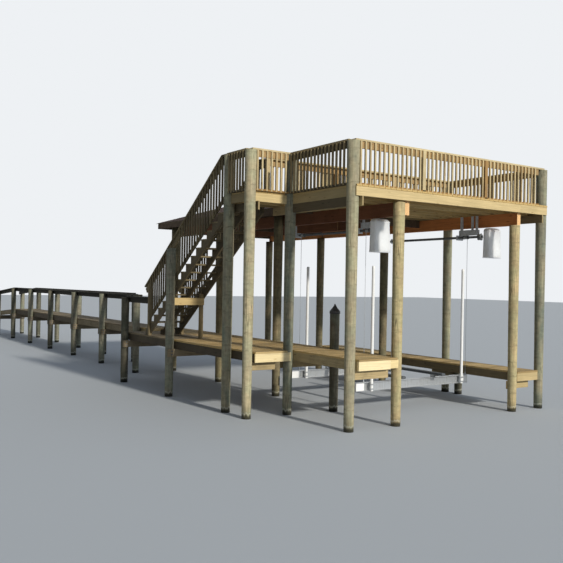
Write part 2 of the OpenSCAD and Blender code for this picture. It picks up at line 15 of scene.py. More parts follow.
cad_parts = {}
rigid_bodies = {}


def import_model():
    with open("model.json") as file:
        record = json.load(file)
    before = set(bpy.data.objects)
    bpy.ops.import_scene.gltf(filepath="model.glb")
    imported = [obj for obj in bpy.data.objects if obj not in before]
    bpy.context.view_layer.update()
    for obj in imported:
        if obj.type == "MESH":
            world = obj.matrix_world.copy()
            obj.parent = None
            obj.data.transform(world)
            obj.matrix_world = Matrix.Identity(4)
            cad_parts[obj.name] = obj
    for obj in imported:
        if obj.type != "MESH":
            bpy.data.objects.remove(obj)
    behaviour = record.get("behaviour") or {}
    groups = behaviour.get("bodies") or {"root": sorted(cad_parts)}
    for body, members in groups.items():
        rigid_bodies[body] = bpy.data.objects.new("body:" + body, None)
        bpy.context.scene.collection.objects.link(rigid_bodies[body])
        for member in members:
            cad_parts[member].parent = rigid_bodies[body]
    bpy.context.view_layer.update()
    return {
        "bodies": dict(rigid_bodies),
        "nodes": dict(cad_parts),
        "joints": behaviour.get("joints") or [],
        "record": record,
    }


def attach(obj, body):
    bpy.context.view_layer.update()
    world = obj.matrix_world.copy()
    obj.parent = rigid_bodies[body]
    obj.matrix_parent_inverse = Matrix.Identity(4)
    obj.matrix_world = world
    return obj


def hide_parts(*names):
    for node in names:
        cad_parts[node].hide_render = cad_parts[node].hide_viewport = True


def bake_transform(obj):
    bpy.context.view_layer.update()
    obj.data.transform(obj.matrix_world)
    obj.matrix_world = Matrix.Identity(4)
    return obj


LOG = logging.getLogger("jetty")
# A millimetre in metres, and a full turn in radians for the growth rings
MM = 0.001
TURN = 6.283
Triple = tuple[float, float, float]
# A pile's X and Y and the height of its top, in mm
Pile = tuple[float, float, float]
Tree = bpy.types.NodeTree
Socket = bpy.types.NodeSocket
Value = bpy.types.NodeSocket | float | str | tuple[float, ...]
Mesh = bmesh.types.BMesh


class Body(Enum):
    """The bodies of the frame that a piece can ride on."""

    JETTY = "jetty"
    CRADLE = "cradle"


class Axis(Enum):
    """The direction in which a board's grain runs."""

    X = 0
    Y = 1
    Z = 2


# Sizes that part.scad sets, in millimetres


@dataclass(frozen=True)
class Plan:
    """Levels, rows and board sizes of the jetty, as in the part's source."""

    slip_left: float = 1223
    slip_right: float = 4829
    outer_row: float = 5780
    stair_row: float = 1034
    upper_depth: float = 2988
    tab_start: float = 2113
    bay: float = 2960
    level_bays: int = 5
    ramp_fall: float = 210
    dock_top: float = 1400
    catwalk_top: float = 905
    walk_rail_top: float = 2420
    walk_near: float = -60
    walk_far: float = 1120
    upper_top: float = 4790
    rail_top: float = 5680
    pile_foot_d: float = 200
    pile_butt_d: float = 255
    risers: int = 18
    tread_run: float = 259
    fascia_front: float = -150
    row_start: float = 4400
    catwalk_rows: tuple[float, ...] = (2500, 4900, 7440)
    # Sawn boards are 38 mm thick, in four widths
    thick: float = 38
    w4: float = 89
    w6: float = 140
    w8: float = 184
    w12: float = 286

    @property
    def stringer_under(self) -> float:
        """Underside of the dock's stringers."""
        return self.dock_top - self.thick - self.w8

    @property
    def catwalk_under(self) -> float:
        """Underside of the catwalk's frame."""
        return self.catwalk_top - self.thick - self.w8

    @property
    def joist_under(self) -> float:
        """Underside of the upper deck's joists."""
        return self.upper_top - self.thick - self.w8

    @property
    def rail_under(self) -> float:
        """Underside of the upper railing's cap, where the tall piles end."""
        return self.rail_top - self.thick

    @property
    def rows(self) -> list[float]:
        """Y of the pile rows behind the upper deck."""
        return [self.row_start + i * self.bay for i in range(3)]

    @property
    def walk_start(self) -> float:
        """Y at which the walkway begins."""
        return self.rows[2]

    @property
    def level_end(self) -> float:
        """Y at which the walkway begins to fall."""
        return self.walk_start + self.level_bays * self.bay

    @property
    def bents(self) -> list[float]:
        """Y of the walkway's pile rows."""
        return [self.walk_start + i * self.bay for i in range(self.level_bays + 2)]

    def fall(self, y: float) -> float:
        """Gives how far the walkway has come down at a pile row."""
        return self.ramp_fall if y > self.level_end else 0

    def cap_drop(self, y: float) -> float:
        """Gives the extra drop of a cap board, which has to clear the sloping stringers."""
        return 12 if y > self.level_end else 0

    def pile_radius(self, z: float) -> float:
        """Gives a pile's radius at a height above the water."""
        return (self.pile_foot_d + (self.pile_butt_d - self.pile_foot_d) * z / self.rail_top) / 2


PLAN = Plan()
TALL: list[Pile] = [(x, y, PLAN.rail_under) for x, y in (
    (0, 0), (PLAN.outer_row, 0), (0, PLAN.tab_start), (-PLAN.stair_row, PLAN.tab_start),
    (-PLAN.stair_row, PLAN.upper_depth), (PLAN.outer_row, PLAN.upper_depth - 30))]
GIRDER_PILES: list[Pile] = (
    [(PLAN.slip_left, 0, PLAN.joist_under - 30), (PLAN.slip_right, 0, PLAN.joist_under - PLAN.w12)]
    + [(PLAN.slip_left, y, PLAN.joist_under - 30) for y in PLAN.rows]
    + [(PLAN.slip_right, y + 40, PLAN.joist_under - PLAN.w12) for y in PLAN.rows])
SHORT_PILE: Pile = (1150, 1950, 2190)
STAIR_PILE: Pile = (-1164, 5600, 3670)
LANDING_PILE: Pile = (-1164, 8500, 2382)


# Small helpers for colours, nodes and turns


def srgb(code: str) -> tuple[float, float, float, float]:
    """Turns an sRGB hex value to a linear colour.

    Args:
        code: Hex value such as "#c8b07a".

    Returns:
        Linear red, green, blue and an alpha of 1.
    """
    parts = [int(code[i : i + 2], 16) / 255 for i in (1, 3, 5)]
    linear = [c / 12.92 if c <= 0.04045 else ((c + 0.055) / 1.055) ** 2.4 for c in parts]
    return (linear[0], linear[1], linear[2], 1.0)


def add(tree: Tree, kind: str, *values: Value, out: str | int = 0, **options: Value) -> Socket | None:
    """Adds one node with its settings, values and links.

    Args:
        tree: Tree that the node goes into.
        kind: The node's type name, where "ShaderNode" may be left out. After a colon comes
            the operation of a maths node or the blend of a colour mix.
        *values: Values or other nodes' sockets for the inputs in use, in order.
        out: Name of an output, or its number among those in use.
        **options: Inputs by name, with a capital and _ for a space, and the node's settings.

    Returns:
        The output's socket, or None if the node has none.
    """
    kind, _, choice = kind.partition(":")
    node = tree.nodes.new(kind if "Node" in kind else "ShaderNode" + kind)
    settings = {key: value for key, value in options.items() if key[0].islower()}
    if kind == "Mix":
        settings = {"data_type": "RGBA", "blend_type": choice}
    elif choice:
        settings["operation"] = choice
    for key, value in settings.items():
        setattr(node, key, value)
    named = {key.replace("_", " "): value for key, value in options.items() if key[0].isupper()}
    inputs = list(zip([socket for socket in node.inputs if socket.enabled], values))
    inputs += [(node.inputs[key], value) for key, value in named.items()]
    for socket, value in inputs:
        if isinstance(value, Socket):
            tree.links.new(value, socket)
        else:
            socket.default_value = value
    if isinstance(out, str):
        return node.outputs[out]
    outputs = [socket for socket in node.outputs if socket.enabled]
    return outputs[out] if outputs else None


def streaks(tree: Tree, place: Socket, lumps: Triple, detail: float = 3.0, roughness: float = 0.5) -> Socket:
    """Gives a noise from 0 to 1 that is drawn out along one way.

    Args:
        tree: Tree of a material or a shape.
        place: Coordinates in metres.
        lumps: Number of its lumps to the metre along X, Y and Z.
        detail: Number of finer layers.
        roughness: Weight of the finer layers.

    Returns:
        The noise's socket.
    """
    return add(tree, "TexNoise", add(tree, "VectorMath:MULTIPLY", place, lumps), 1.0, detail, roughness)


def coat(tree: Tree, colour: Socket, relief: Socket, strength: float, depth_mm: float,
         **inputs: Value) -> None:
    """Ends a material with a bump and a Principled shader.

    Args:
        tree: The material's tree.
        colour: Its colour.
        relief: Heights for the bump.
        strength: Share of the bump that shows.
        depth_mm: Depth of the bump.
        **inputs: Other inputs of the shader, with _ for a space.
    """
    bump = add(tree, "Bump", Height=relief, Strength=strength, Distance=depth_mm * MM)
    add(tree, "OutputMaterial", add(tree, "BsdfPrincipled", Base_Color=colour, Normal=bump, **inputs))


def basis(x: Vector, y: Vector, z: Vector) -> Matrix:
    """Gives the turn that takes the three axes to three unit vectors."""
    return Matrix((x, y, z)).transposed().to_4x4()


def quarter_turn(place: Triple, quarter: int) -> Matrix:
    """Gives the move to a place in mm, after quarter turns about Z."""
    move = Matrix.Translation([value * MM for value in place])
    return move @ Matrix.Rotation(quarter * math.pi / 2, 4, "Z")


def new_object(name: str, data: bpy.types.ID) -> bpy.types.Object:
    """Makes an object at the origin and puts it into the scene.

    Args:
        name: The object's name.
        data: Its mesh, camera or light.

    Returns:
        The object.
    """
    made = bpy.data.objects.new(name, data)
    bpy.context.scene.collection.objects.link(made)
    return made


# Finishes


@dataclass(frozen=True)
class Finish:
    """A surface that is named for the real material."""

    name: str

    def material(self) -> bpy.types.Material:
        """Builds the material from the finish's values.

        Returns:
            The material.
        """
        material = bpy.data.materials.new(self.name)
        material.use_nodes = True
        material.node_tree.nodes.clear()
        self.paint(material.node_tree)
        return material

    def paint(self, tree: Tree) -> None:
        """Fills the material's tree, which each kind of finish does in its own way.

        Args:
            tree: The material's empty tree.
        """
        raise NotImplementedError


@dataclass(frozen=True)
class Lumber(Finish):
    """Sawn southern pine. Its growth lines run along each board through the "grain" attribute.

    The saw leaves a flat, dull face with darker latewood lines about 9 mm apart, a few knots
    to the metre, and every board of a deck has its own tone.
    """

    pale: str
    deep: str
    late: str
    stain: str
    end: str
    stain_share: float = 0.35
    roughness: float = 0.78
    ring_mm: float = 9.0

    def grain(self, tree: Tree) -> tuple[Socket, Socket | float]:
        """Gives coordinates in metres with X along the board, and the board's tone from 0 to 1."""
        return (add(tree, "Attribute", attribute_name="grain", out="Vector"),
                add(tree, "Attribute", attribute_name="tone", out="Fac"))

    def paint(self, tree: Tree) -> None:
        """Draws rings, fibres, streaks, knots and stains, and end grain at the sawn ends.

        Args:
            tree: The material's empty tree.
        """
        grain, tone = self.grain(tree)
        late = srgb(self.late)
        parts = add(tree, "SeparateXYZ", grain).node.outputs
        across = add(tree, "Math:ADD", parts[1], add(tree, "Math:MULTIPLY", parts[2], 0.6))
        rings = add(tree, "Math:MULTIPLY", across, TURN / (self.ring_mm * MM))
        wobble = add(tree, "Math:MULTIPLY", streaks(tree, grain, (0.9, 8, 8), 2.0), 40.0)
        rings = add(tree, "Math:SINE", add(tree, "Math:ADD", rings, wobble))
        rings = add(tree, "Math:MULTIPLY_ADD", rings, 0.5, 0.5)
        # Wood fibres of 1 to 3 mm, drawn 100 mm long
        fibre = streaks(tree, grain, (10, 300, 300))
        # Streaks as wide as a finger, which still show from across the water
        streak = streaks(tree, grain, (1.5, 30, 30))
        knot = add(tree, "TexVoronoi", add(tree, "VectorMath:MULTIPLY", grain, (2.4, 11, 11)), 1.0)
        knot = add(tree, "Math:MULTIPLY_ADD", knot, -9.0, 1.35, use_clamp=True)
        colour = add(tree, "Mix:MIX", tone, srgb(self.deep), srgb(self.pale))
        colour = add(tree, "Mix:MIX", add(tree, "Math:MULTIPLY", rings, 0.38), colour, late)
        colour = add(tree, "Mix:MULTIPLY", add(tree, "Math:MULTIPLY", knot, 0.75), colour, late)
        colour = add(tree, "Mix:MULTIPLY", 0.75, colour, add(tree, "Math:MULTIPLY_ADD", streak, 0.9, 0.55))
        patch = add(tree, "TexNoise", add(tree, "TexCoord", out="Object"), 1.7, 5.0, 0.65)
        patch = add(tree, "Math:MULTIPLY_ADD", patch, 5.0, -2.3, use_clamp=True)
        stained = add(tree, "Math:MULTIPLY", patch, self.stain_share)
        colour = add(tree, "Mix:MIX", stained, colour, srgb(self.stain))
        # End grain drinks the stain and is cut across the rings, so it keeps a colour of its own
        sawn = add(tree, "Mix:MIX", add(tree, "Math:MULTIPLY", rings, 0.25), srgb(self.end), late)
        colour = add(tree, "Mix:MIX", add(tree, "Attribute", attribute_name="end", out="Fac"), colour, sawn)
        relief = add(tree, "Math:ADD", add(tree, "Math:MULTIPLY", rings, 0.4), fibre)
        rough = add(tree, "Math:MULTIPLY_ADD", fibre, 0.2, self.roughness - 0.1)
        coat(tree, colour, relief, 0.5, 1.2, Roughness=rough, Specular_IOR_Level=0.3)


@dataclass(frozen=True)
class SlopedLumber(Lumber):
    """The same sawn pine on a CAD board in the Y-Z plane that climbs at an angle."""

    angle: float = 0.0

    def grain(self, tree: Tree) -> tuple[Socket, Socket | float]:
        """Turns object coordinates to the board's slope.

        Args:
            tree: The material's tree.

        Returns:
            The coordinates and one tone for all.
        """
        place = add(tree, "TexCoord", out="Object")
        turned = add(tree, "VectorRotate", place, Angle=self.angle, rotation_type="X_AXIS")
        parts = add(tree, "SeparateXYZ", turned).node.outputs
        return add(tree, "CombineXYZ", parts[1], parts[2], parts[0]), 0.45


@dataclass(frozen=True)
class PileWood(Finish):
    """Peeled pine poles, pressure treated: greenish grey, with long checks, dark where they are wet."""

    pale: str
    deep: str
    wet: str
    check_mm: float = 28.0
    green: str = "#e6ecdf"
    pink: str = "#f6e6d8"
    knot: str = "#3a2f20"
    crack: str = "#2b261c"
    pale_band: str = "#dcdccb"

    def paint(self, tree: Tree) -> None:
        """Draws streaks up the pole in object coordinates, with knots, checks and a tide line.

        Args:
            tree: The material's empty tree.
        """
        place = add(tree, "TexCoord", out="Object")
        tone = add(tree, "Attribute", attribute_name="tone", out="Fac")
        height = add(tree, "SeparateXYZ", place, out=2)
        streak = streaks(tree, place, (26, 26, 1.1), 4.0, 0.6)
        fibre = streaks(tree, place, (160, 160, 5))
        patch = streaks(tree, place, (5, 5, 1.6))
        # Peeling left shallow scallops, a hand wide
        scallop = streaks(tree, place, (9, 9, 15), 2.0)
        # Whorls of knots leave broken rings about 0.4 m apart
        bend = add(tree, "Math:MULTIPLY_ADD", tone, 5.0, add(tree, "Math:MULTIPLY", height, 2.6))
        bend = add(tree, "Math:MULTIPLY_ADD", scallop, 0.3, bend)
        ring = add(tree, "TexVoronoi", bend, 1.0, voronoi_dimensions="1D", feature="DISTANCE_TO_EDGE")
        ring = add(tree, "Math:MULTIPLY_ADD", ring, -22.0, 1.0, use_clamp=True)
        broken = add(tree, "Math:MULTIPLY_ADD", streak, 5.0, -2.0, use_clamp=True)
        ring = add(tree, "Math:MULTIPLY", ring, broken)
        # Drying checks: thin dark lines 28 mm apart that start and stop up the pole
        cells = (1 / (self.check_mm * MM), 1 / (self.check_mm * MM), 0.9)
        check = add(tree, "TexVoronoi", add(tree, "VectorMath:MULTIPLY", place, cells), 1.0,
                    feature="DISTANCE_TO_EDGE")
        check = add(tree, "Math:MULTIPLY_ADD", check, -16.0, 1.0, use_clamp=True)
        broken = add(tree, "Math:MULTIPLY_ADD", patch, 4.0, -1.6, use_clamp=True)
        check = add(tree, "Math:MULTIPLY", check, broken)
        share = add(tree, "Math:MULTIPLY_ADD", tone, 0.8, -0.75)
        share = add(tree, "Math:MULTIPLY_ADD", patch, 1.6, share, use_clamp=True)
        colour = add(tree, "Mix:MIX", share, srgb(self.deep), srgb(self.pale))
        shade = add(tree, "Math:MULTIPLY_ADD", streak, 1.1, add(tree, "Math:MULTIPLY", scallop, 0.9))
        colour = add(tree, "Mix:MULTIPLY", 0.8, colour, shade)
        # Copper salts tint some parts green and the weather leaves others pinkish brown
        tint = add(tree, "VectorMath:MULTIPLY_ADD", place, (4, 4, 2.4), (7, 3, 1))
        tint = add(tree, "TexNoise", tint, 1.0, 2.0)
        tint = add(tree, "Math:MULTIPLY_ADD", tint, 4.0, -1.5, use_clamp=True)
        tint = add(tree, "Mix:MIX", tint, srgb(self.pink), srgb(self.green))
        colour = add(tree, "Mix:MULTIPLY", 0.6, colour, tint)
        colour = add(tree, "Mix:MIX", add(tree, "Math:MULTIPLY", ring, 0.45), colour, srgb(self.knot))
        colour = add(tree, "Mix:MIX", add(tree, "Math:MULTIPLY", check, 0.7), colour, srgb(self.crack))
        # Tide line: wet up to about 60 mm over the water, ragged at its top, with a pale band drawn above it
        line = add(tree, "Math:MULTIPLY_ADD", streak, 0.14, -0.01)
        above = add(tree, "Math:SUBTRACT", height, line)
        soaked = add(tree, "Math:MULTIPLY_ADD", above, -22.0, 1.0, use_clamp=True)
        colour = add(tree, "Mix:MIX", add(tree, "Math:MULTIPLY", soaked, 0.88), colour, srgb(self.wet))
        pale_band = add(tree, "Math:SUBTRACT", height, add(tree, "Math:ADD", line, 0.055))
        pale_band = add(tree, "Math:MULTIPLY_ADD", add(tree, "Math:ABSOLUTE", pale_band), -40.0, 1.0, use_clamp=True)
        colour = add(tree, "Mix:MIX", add(tree, "Math:MULTIPLY", pale_band, 0.45), colour, srgb(self.pale_band))
        relief = add(tree, "Math:MULTIPLY_ADD", fibre, 0.4, add(tree, "Math:ADD", streak, scallop))
        coat(tree, colour, add(tree, "Math:SUBTRACT", relief, check), 0.6, 4.0,
             Roughness=add(tree, "Math:MULTIPLY_ADD", soaked, -0.4, 0.85), Specular_IOR_Level=0.3)


@dataclass(frozen=True)
class Smooth(Finish):
    """A moulded, cast or rolled surface with faint mottling, streaks of dirt and a fine grain."""

    colour: str
    dirt: str
    roughness: float
    metallic: float = 0.0
    dirt_share: float = 0.3
    mottle: float = 9.0
    relief_mm: float = 0.25
    grain_mm: float = 3.0
    glow_mm: float = 0.0

    def paint(self, tree: Tree) -> None:
        """Draws dirt where mottling and runs meet, and a fine grain in the bump.

        Args:
            tree: The material's empty tree.
        """
        place = add(tree, "TexCoord", out="Object")
        patch = add(tree, "TexNoise", place, self.mottle, 6.0, 0.7)
        fine = add(tree, "TexNoise", place, 1 / (self.grain_mm * MM), 2.0)
        runs = streaks(tree, place, (24, 24, 1.8))
        darkening = add(tree, "Math:MULTIPLY", add(tree, "Math:MULTIPLY_ADD", patch, 2.6, -1.0, use_clamp=True),
                   add(tree, "Math:MULTIPLY_ADD", runs, 2.4, -0.7, use_clamp=True))
        dirty = add(tree, "Math:MULTIPLY", darkening, self.dirt_share * 2)
        colour = add(tree, "Mix:MIX", dirty, srgb(self.colour), srgb(self.dirt))
        rough = add(tree, "Math:MULTIPLY_ADD", darkening, 0.3, self.roughness)
        inputs = {"Roughness": rough, "Metallic": self.metallic}
        if self.glow_mm:
            # Thin moulded walls pass light on, so a shadow on them stays pale
            inputs |= {"Subsurface_Weight": 0.85, "Subsurface_Radius": (1.0, 1.0, 1.0),
                       "Subsurface_Scale": self.glow_mm * MM}
        coat(tree, colour, fine, 0.4, self.relief_mm, **inputs)


@dataclass(frozen=True)
class MineralShingle(Finish):
    """Asphalt shingles with a coat of crushed stone, grey-brown, each tab of its own tone."""

    pale: str
    deep: str
    grit_mm: float = 2.0

    def paint(self, tree: Tree) -> None:
        """Draws grit on each tab. The real grit is 1 mm; it is drawn at 2 mm, so that it still shows.

        Args:
            tree: The material's empty tree.
        """
        grain = add(tree, "Attribute", attribute_name="grain", out="Vector")
        tone = add(tree, "Attribute", attribute_name="tone", out="Fac")
        grit = add(tree, "TexVoronoi", grain, 1 / (self.grit_mm * MM), out="Color")
        grit = add(tree, "SeparateColor", grit)
        patch = add(tree, "TexNoise", add(tree, "TexCoord", out="Object"), 1.3, 5.0)
        share = add(tree, "Math:ADD", add(tree, "Math:MULTIPLY", tone, 0.6),
                    add(tree, "Math:MULTIPLY_ADD", patch, 0.9, -0.3), use_clamp=True)
        colour = add(tree, "Mix:MIX", share, srgb(self.deep), srgb(self.pale))
        colour = add(tree, "Mix:MULTIPLY", 0.8, colour, add(tree, "Math:MULTIPLY_ADD", grit, 0.6, 0.7))
        coat(tree, colour, grit, 0.7, 1.5, Roughness=0.95, Specular_IOR_Level=0.2)


@dataclass(frozen=True)
class Plain(Finish):
    """A matt, even surface for the floor, which isn't part of the object."""

    colour: str

    def paint(self, tree: Tree) -> None:
        """Sets one colour."""
        add(tree, "OutputMaterial", add(tree, "BsdfPrincipled", srgb(self.colour), Roughness=0.9))


# Lumber: pale, deep, latewood, stain and sawn end, then the stain's share and the roughness

# Treated pine a few months old: straw yellow with a green cast, its latewood lines plain to see
NEW_LUMBER = Lumber("treated_pine", "#e4ca92", "#b29661", "#7f643c", "#877c56", "#cfb073", 0.3)
# Rail boards get the most sun: bleached, with deep brown streaks
RAIL_LUMBER = Lumber("greying_rail_pine", "#dccb9e", "#a47c45", "#6f4f2c", "#7d6747", "#c9a468", 0.4)
# Edge boards are of clearer wood: pale and even
RIM_LUMBER = Lumber("treated_edge_pine", "#e2ca96", "#91815f", "#8c7549", "#a39262", "#cdb07a", 0.2)
# The boards put on last are still a bright cream yellow
FASCIA_LUMBER = Lumber("fresh_treated_pine", "#fae8bc", "#ecd59c", "#c2a468", "#d2bd88", "#f0d9a4", 0.15)
# Decking is worn by feet: warm, with grey stains
DECK_LUMBER = Lumber("worn_deck_pine", "#e4c58a", "#ac9060", "#75603d", "#837758", "#cdae73", 0.4)
# Stair boards in a dull brown, painted shade of the deck above the stair
STAIR_LUMBER = Lumber("shaded_stair_pine", "#8f8161", "#615640", "#43392a", "#4d4636", "#857657", 0.4)
# Old pine has weathered to grey-brown and has no gloss left
GREY_LUMBER = Lumber("weathered_pine", "#a59477", "#5a5247", "#463f31", "#716750", "#8d7d62", 0.45, 0.88)
# The walkway's rails are older still: nearly black, with a grey bloom
DARK_LUMBER = Lumber("weathered_rail_pine", "#4a473e", "#2b2923", "#22201c", "#3d3d33", "#4a473f", 0.45, 0.9)
# Frame boards under the decks, straw yellow at a pale tone and dark brown at a dark one; the dark tones are
# painted shade on boards that face away from the light, and the shaded railing runs take this finish as
# painted shade too
FRAME_LUMBER = Lumber("dock_frame_pine", "#c6b083", "#40382a", "#4d412c", "#5f5540", "#a8946a", 0.4)
# Girders are stained reddish brown, and the raw wood shows pale at their sawn ends; the bright copy is
# painted light on the right girder, the dark copy below it painted shade on the left girder and the middle
# beam
RED_LUMBER = Lumber("stained_pine", "#f7a662", "#cd8149", "#7b4827", "#945d37", "#ffcf94", 0.35)
SHADED_RED_LUMBER = Lumber("shade_painted_stained_pine", "#92603f", "#5f3a2c", "#432717", "#57351f", "#ffcf94", 0.4)
# The notched stair stringers in dark brown, painted shade of the deck above them
STRINGER_LUMBER = SlopedLumber(
    "stair_stringer_pine", "#7d7054", "#564b37", "#3b3223", "#443d2e", "#7d7054", 0.4,
    angle=math.atan2(PLAN.upper_top - PLAN.dock_top, PLAN.risers * PLAN.tread_run))
# Poles: pale, deep and wet; older ones are greyer and darker, and on the low poles that darkness is also
# painted shade
PILES = PileWood("peeled_pine_pole", "#c6bd9c", "#767c72", "#34332a")
NEW_PILES = PileWood("new_pine_pole", "#cbbc92", "#77705a", "#34332a")
OLD_AND_SHADED_PILES = PileWood("old_and_shade_painted_pine_pole", "#9c9b8a", "#58574b", "#26251f")
# Crushed stone on asphalt: matt, speckled grey-brown
SHINGLES = MineralShingle("mineral_shingle", "#675650", "#413733")

# Smooth surfaces: colour, dirt and roughness, then metallic, the dirt's share and its mottling

# Hot-dip zinc: a pale grey bloom over a dull shine
GALVANISED = Smooth("galvanised_steel", "#d3d8dc", "#77736a", 0.5, 0.35, 0.45, 22)
# Zinc steel in dark grey, painted shade for the shafts, gearboxes and bolts under the decks
SHADED_STEEL = Smooth("shade_painted_zinc_steel", "#6f7274", "#423f39", 0.55, 0.3, 0.5, 22)
# Drawn wire: bright and fairly sharp in its shine
CABLE_STEEL = Smooth("stainless_wire_rope", "#b4b8ba", "#6f6a62", 0.35, 0.9, 0.3, 30)
# Extruded aluminium as it leaves the mill: pale, with a soft shine
ALUMINIUM = Smooth("mill_aluminium", "#c9ccce", "#8f8d86", 0.38, 0.8, 0.4, 6)
# Moulded polyethylene: bluish white, waxy, and it lets light through
HOOD_PLASTIC = Smooth("moulded_polyethylene", "#f4f9ff", "#c6ccd4", 0.36, 0.0, 0.25, 7, glow_mm=260)
# PVC pipe: plain white with a low gloss
PIPE_PLASTIC = Smooth("white_pvc_pipe", "#fcfcfa", "#c6c3b2", 0.3, 0.0, 0.12, 5)
# Moulded black plastic, chalky where the sun has bleached it
BLACK_PLASTIC = Smooth("black_pile_cap_plastic", "#1c1c1e", "#5d5b52", 0.45, 0.0, 0.35, 14)
# Marine carpet: a grey pile of 5 mm tufts with no shine
CARPET = Smooth("bunk_carpet", "#5e6266", "#3d3f3e", 0.95, 0.0, 0.4, 30, relief_mm=2.0, grain_mm=5.0)
# Rafters and plywood in the roof's shade: old brown wood with water stains
ROOF_LUMBER = Smooth("old_roof_pine", "#5d4c3a", "#2f261e", 0.85, 0.0, 0.6, 5, relief_mm=1.2)
SHEATHING = Smooth("roof_plywood", "#6f6049", "#3f352a", 0.85, 0.0, 0.5, 3, relief_mm=0.8)


# Geometry Nodes trees

READ = "GeometryNodeInputNamedAttribute"
STORE = "GeometryNodeStoreNamedAttribute"
SPREAD = "GeometryNodeInstanceOnPoints"
REALIZE = "GeometryNodeRealizeInstances"
MOVE = "GeometryNodeSetPosition"
ROD = "GeometryNodeMeshCylinder"
TO_ROTATION = "FunctionNodeEulerToRotation"
WORKING = ("unit", "size", "turn", "shift", "tall", "centre", "UVMap")


def new_tree(name: str, sizes: dict[str, float]) -> tuple[Tree, bpy.types.Node]:
    """Starts a geometry tree with named inputs.

    Args:
        name: The tree's name.
        sizes: Named number inputs with their defaults.

    Returns:
        The tree and its group input node.
    """
    tree = bpy.data.node_groups.new(name, "GeometryNodeTree")
    face = tree.interface
    face.new_socket("Geometry", in_out="INPUT", socket_type="NodeSocketGeometry")
    face.new_socket("Geometry", in_out="OUTPUT", socket_type="NodeSocketGeometry")
    face.new_socket("Material", in_out="INPUT", socket_type="NodeSocketMaterial")
    for label, value in sizes.items():
        kind = "NodeSocketInt" if isinstance(value, int) else "NodeSocketFloat"
        face.new_socket(label, in_out="INPUT", socket_type=kind).default_value = value
    return tree, add(tree, "NodeGroupInput").node


def end_tree(tree: Tree, start: bpy.types.Node, geometry: Socket) -> Tree:
    """Ends a geometry tree with Set Material.

    Args:
        tree: The tree.
        start: Its group input.
        geometry: The realized geometry.

    Returns:
        The same tree.
    """
    painted = add(tree, "GeometryNodeSetMaterial", geometry, Material=start.outputs["Material"])
    add(tree, "NodeGroupOutput", painted)
    return tree


def board_tree() -> Tree:
    """Builds the tree that sets one sized and turned board on each point.

    Returns:
        The tree.
    """
    tree, start = new_tree("boards_on_points", {"Seed": 1})
    kind = {"data_type": "FLOAT_VECTOR"}
    unit, size, turn, shift = (add(tree, READ, name, **kind) for name in ("unit", "size", "turn", "shift"))
    block = add(tree, "GeometryNodeMeshCube", (1, 1, 1))
    block = add(tree, STORE, block, Name="unit", Value=add(tree, "GeometryNodeInputPosition"), **kind)
    # The two faces across the block's length are its sawn ends
    facing = add(tree, "SeparateXYZ", add(tree, "GeometryNodeInputNormal"))
    sawn = add(tree, "Math:GREATER_THAN", add(tree, "Math:ABSOLUTE", facing), 0.9)
    block = add(tree, STORE, block, Name="end", Value=sawn, data_type="FLOAT", domain="FACE")
    boards = add(tree, SPREAD, start.outputs["Geometry"], Instance=block,
                 Rotation=add(tree, TO_ROTATION, turn), Scale=size)
    # Each board's pattern is moved by up to 9 m, so that no two look alike
    chance = add(tree, "FunctionNodeRandomValue", (0, 0, 0), (9, 9, 9), Seed=start.outputs["Seed"], **kind)
    boards = add(tree, STORE, boards, Name="shift", Value=chance, domain="INSTANCE", **kind)
    grain = add(tree, "VectorMath:MULTIPLY_ADD", unit, size, shift)
    real = add(tree, STORE, add(tree, REALIZE, boards), Name="grain", Value=grain, **kind)
    return end_tree(tree, start, real)


def pile_tree() -> Tree:
    """Builds the tree that raises one tapered, slightly uneven pole on each point.

    Returns:
        The tree.
    """
    tree, start = new_tree(
        "poles_on_points", {"Foot Radius": 0.09, "Taper": 0.005, "Unevenness": 0.006, "Sides": 28})
    sizes = start.outputs
    pole = add(tree, ROD, Vertices=sizes["Sides"], Side_Segments=14, Radius=1.0, Depth=1.0)
    pole = add(tree, MOVE, pole, Offset=(0, 0, 0.5))
    scale = add(tree, "CombineXYZ", 1.0, 1.0, add(tree, READ, "tall", data_type="FLOAT"))
    real = add(tree, REALIZE, add(tree, SPREAD, sizes["Geometry"], Instance=pole, Scale=scale))
    # Each point keeps its direction from the pole's middle and gets the radius of its height
    place = add(tree, "GeometryNodeInputPosition")
    centre = add(tree, READ, "centre", data_type="FLOAT_VECTOR")
    flat = add(tree, "VectorMath:MULTIPLY", add(tree, "VectorMath:SUBTRACT", place, centre), (1, 1, 0))
    uneven = add(tree, "Math:SUBTRACT", streaks(tree, place, (1.3, 1.3, 0.8), 2.0), 0.72)
    uneven = add(tree, "Math:MULTIPLY", uneven, sizes["Unevenness"])
    height = add(tree, "SeparateXYZ", place, out=2)
    radius = add(tree, "Math:MULTIPLY_ADD", height, sizes["Taper"], sizes["Foot Radius"])
    radius = add(tree, "Math:ADD", radius, uneven)
    moved = add(tree, "VectorMath:MULTIPLY_ADD", flat, add(tree, "CombineXYZ", radius, radius),
                add(tree, "VectorMath:MULTIPLY", centre, (1, 1, 0)))
    moved = add(tree, "VectorMath:ADD", add(tree, "VectorMath:MULTIPLY", place, (0, 0, 1)), moved)
    real = add(tree, MOVE, real, Position=moved)
    # The cut ends stay flat
    facing = add(tree, "Math:ABSOLUTE", add(tree, "SeparateXYZ", add(tree, "GeometryNodeInputNormal"), out=2))
    side = add(tree, "Math:LESS_THAN", facing, 0.6)
    return end_tree(tree, start, add(tree, "GeometryNodeSetShadeSmooth", real, Selection=side))


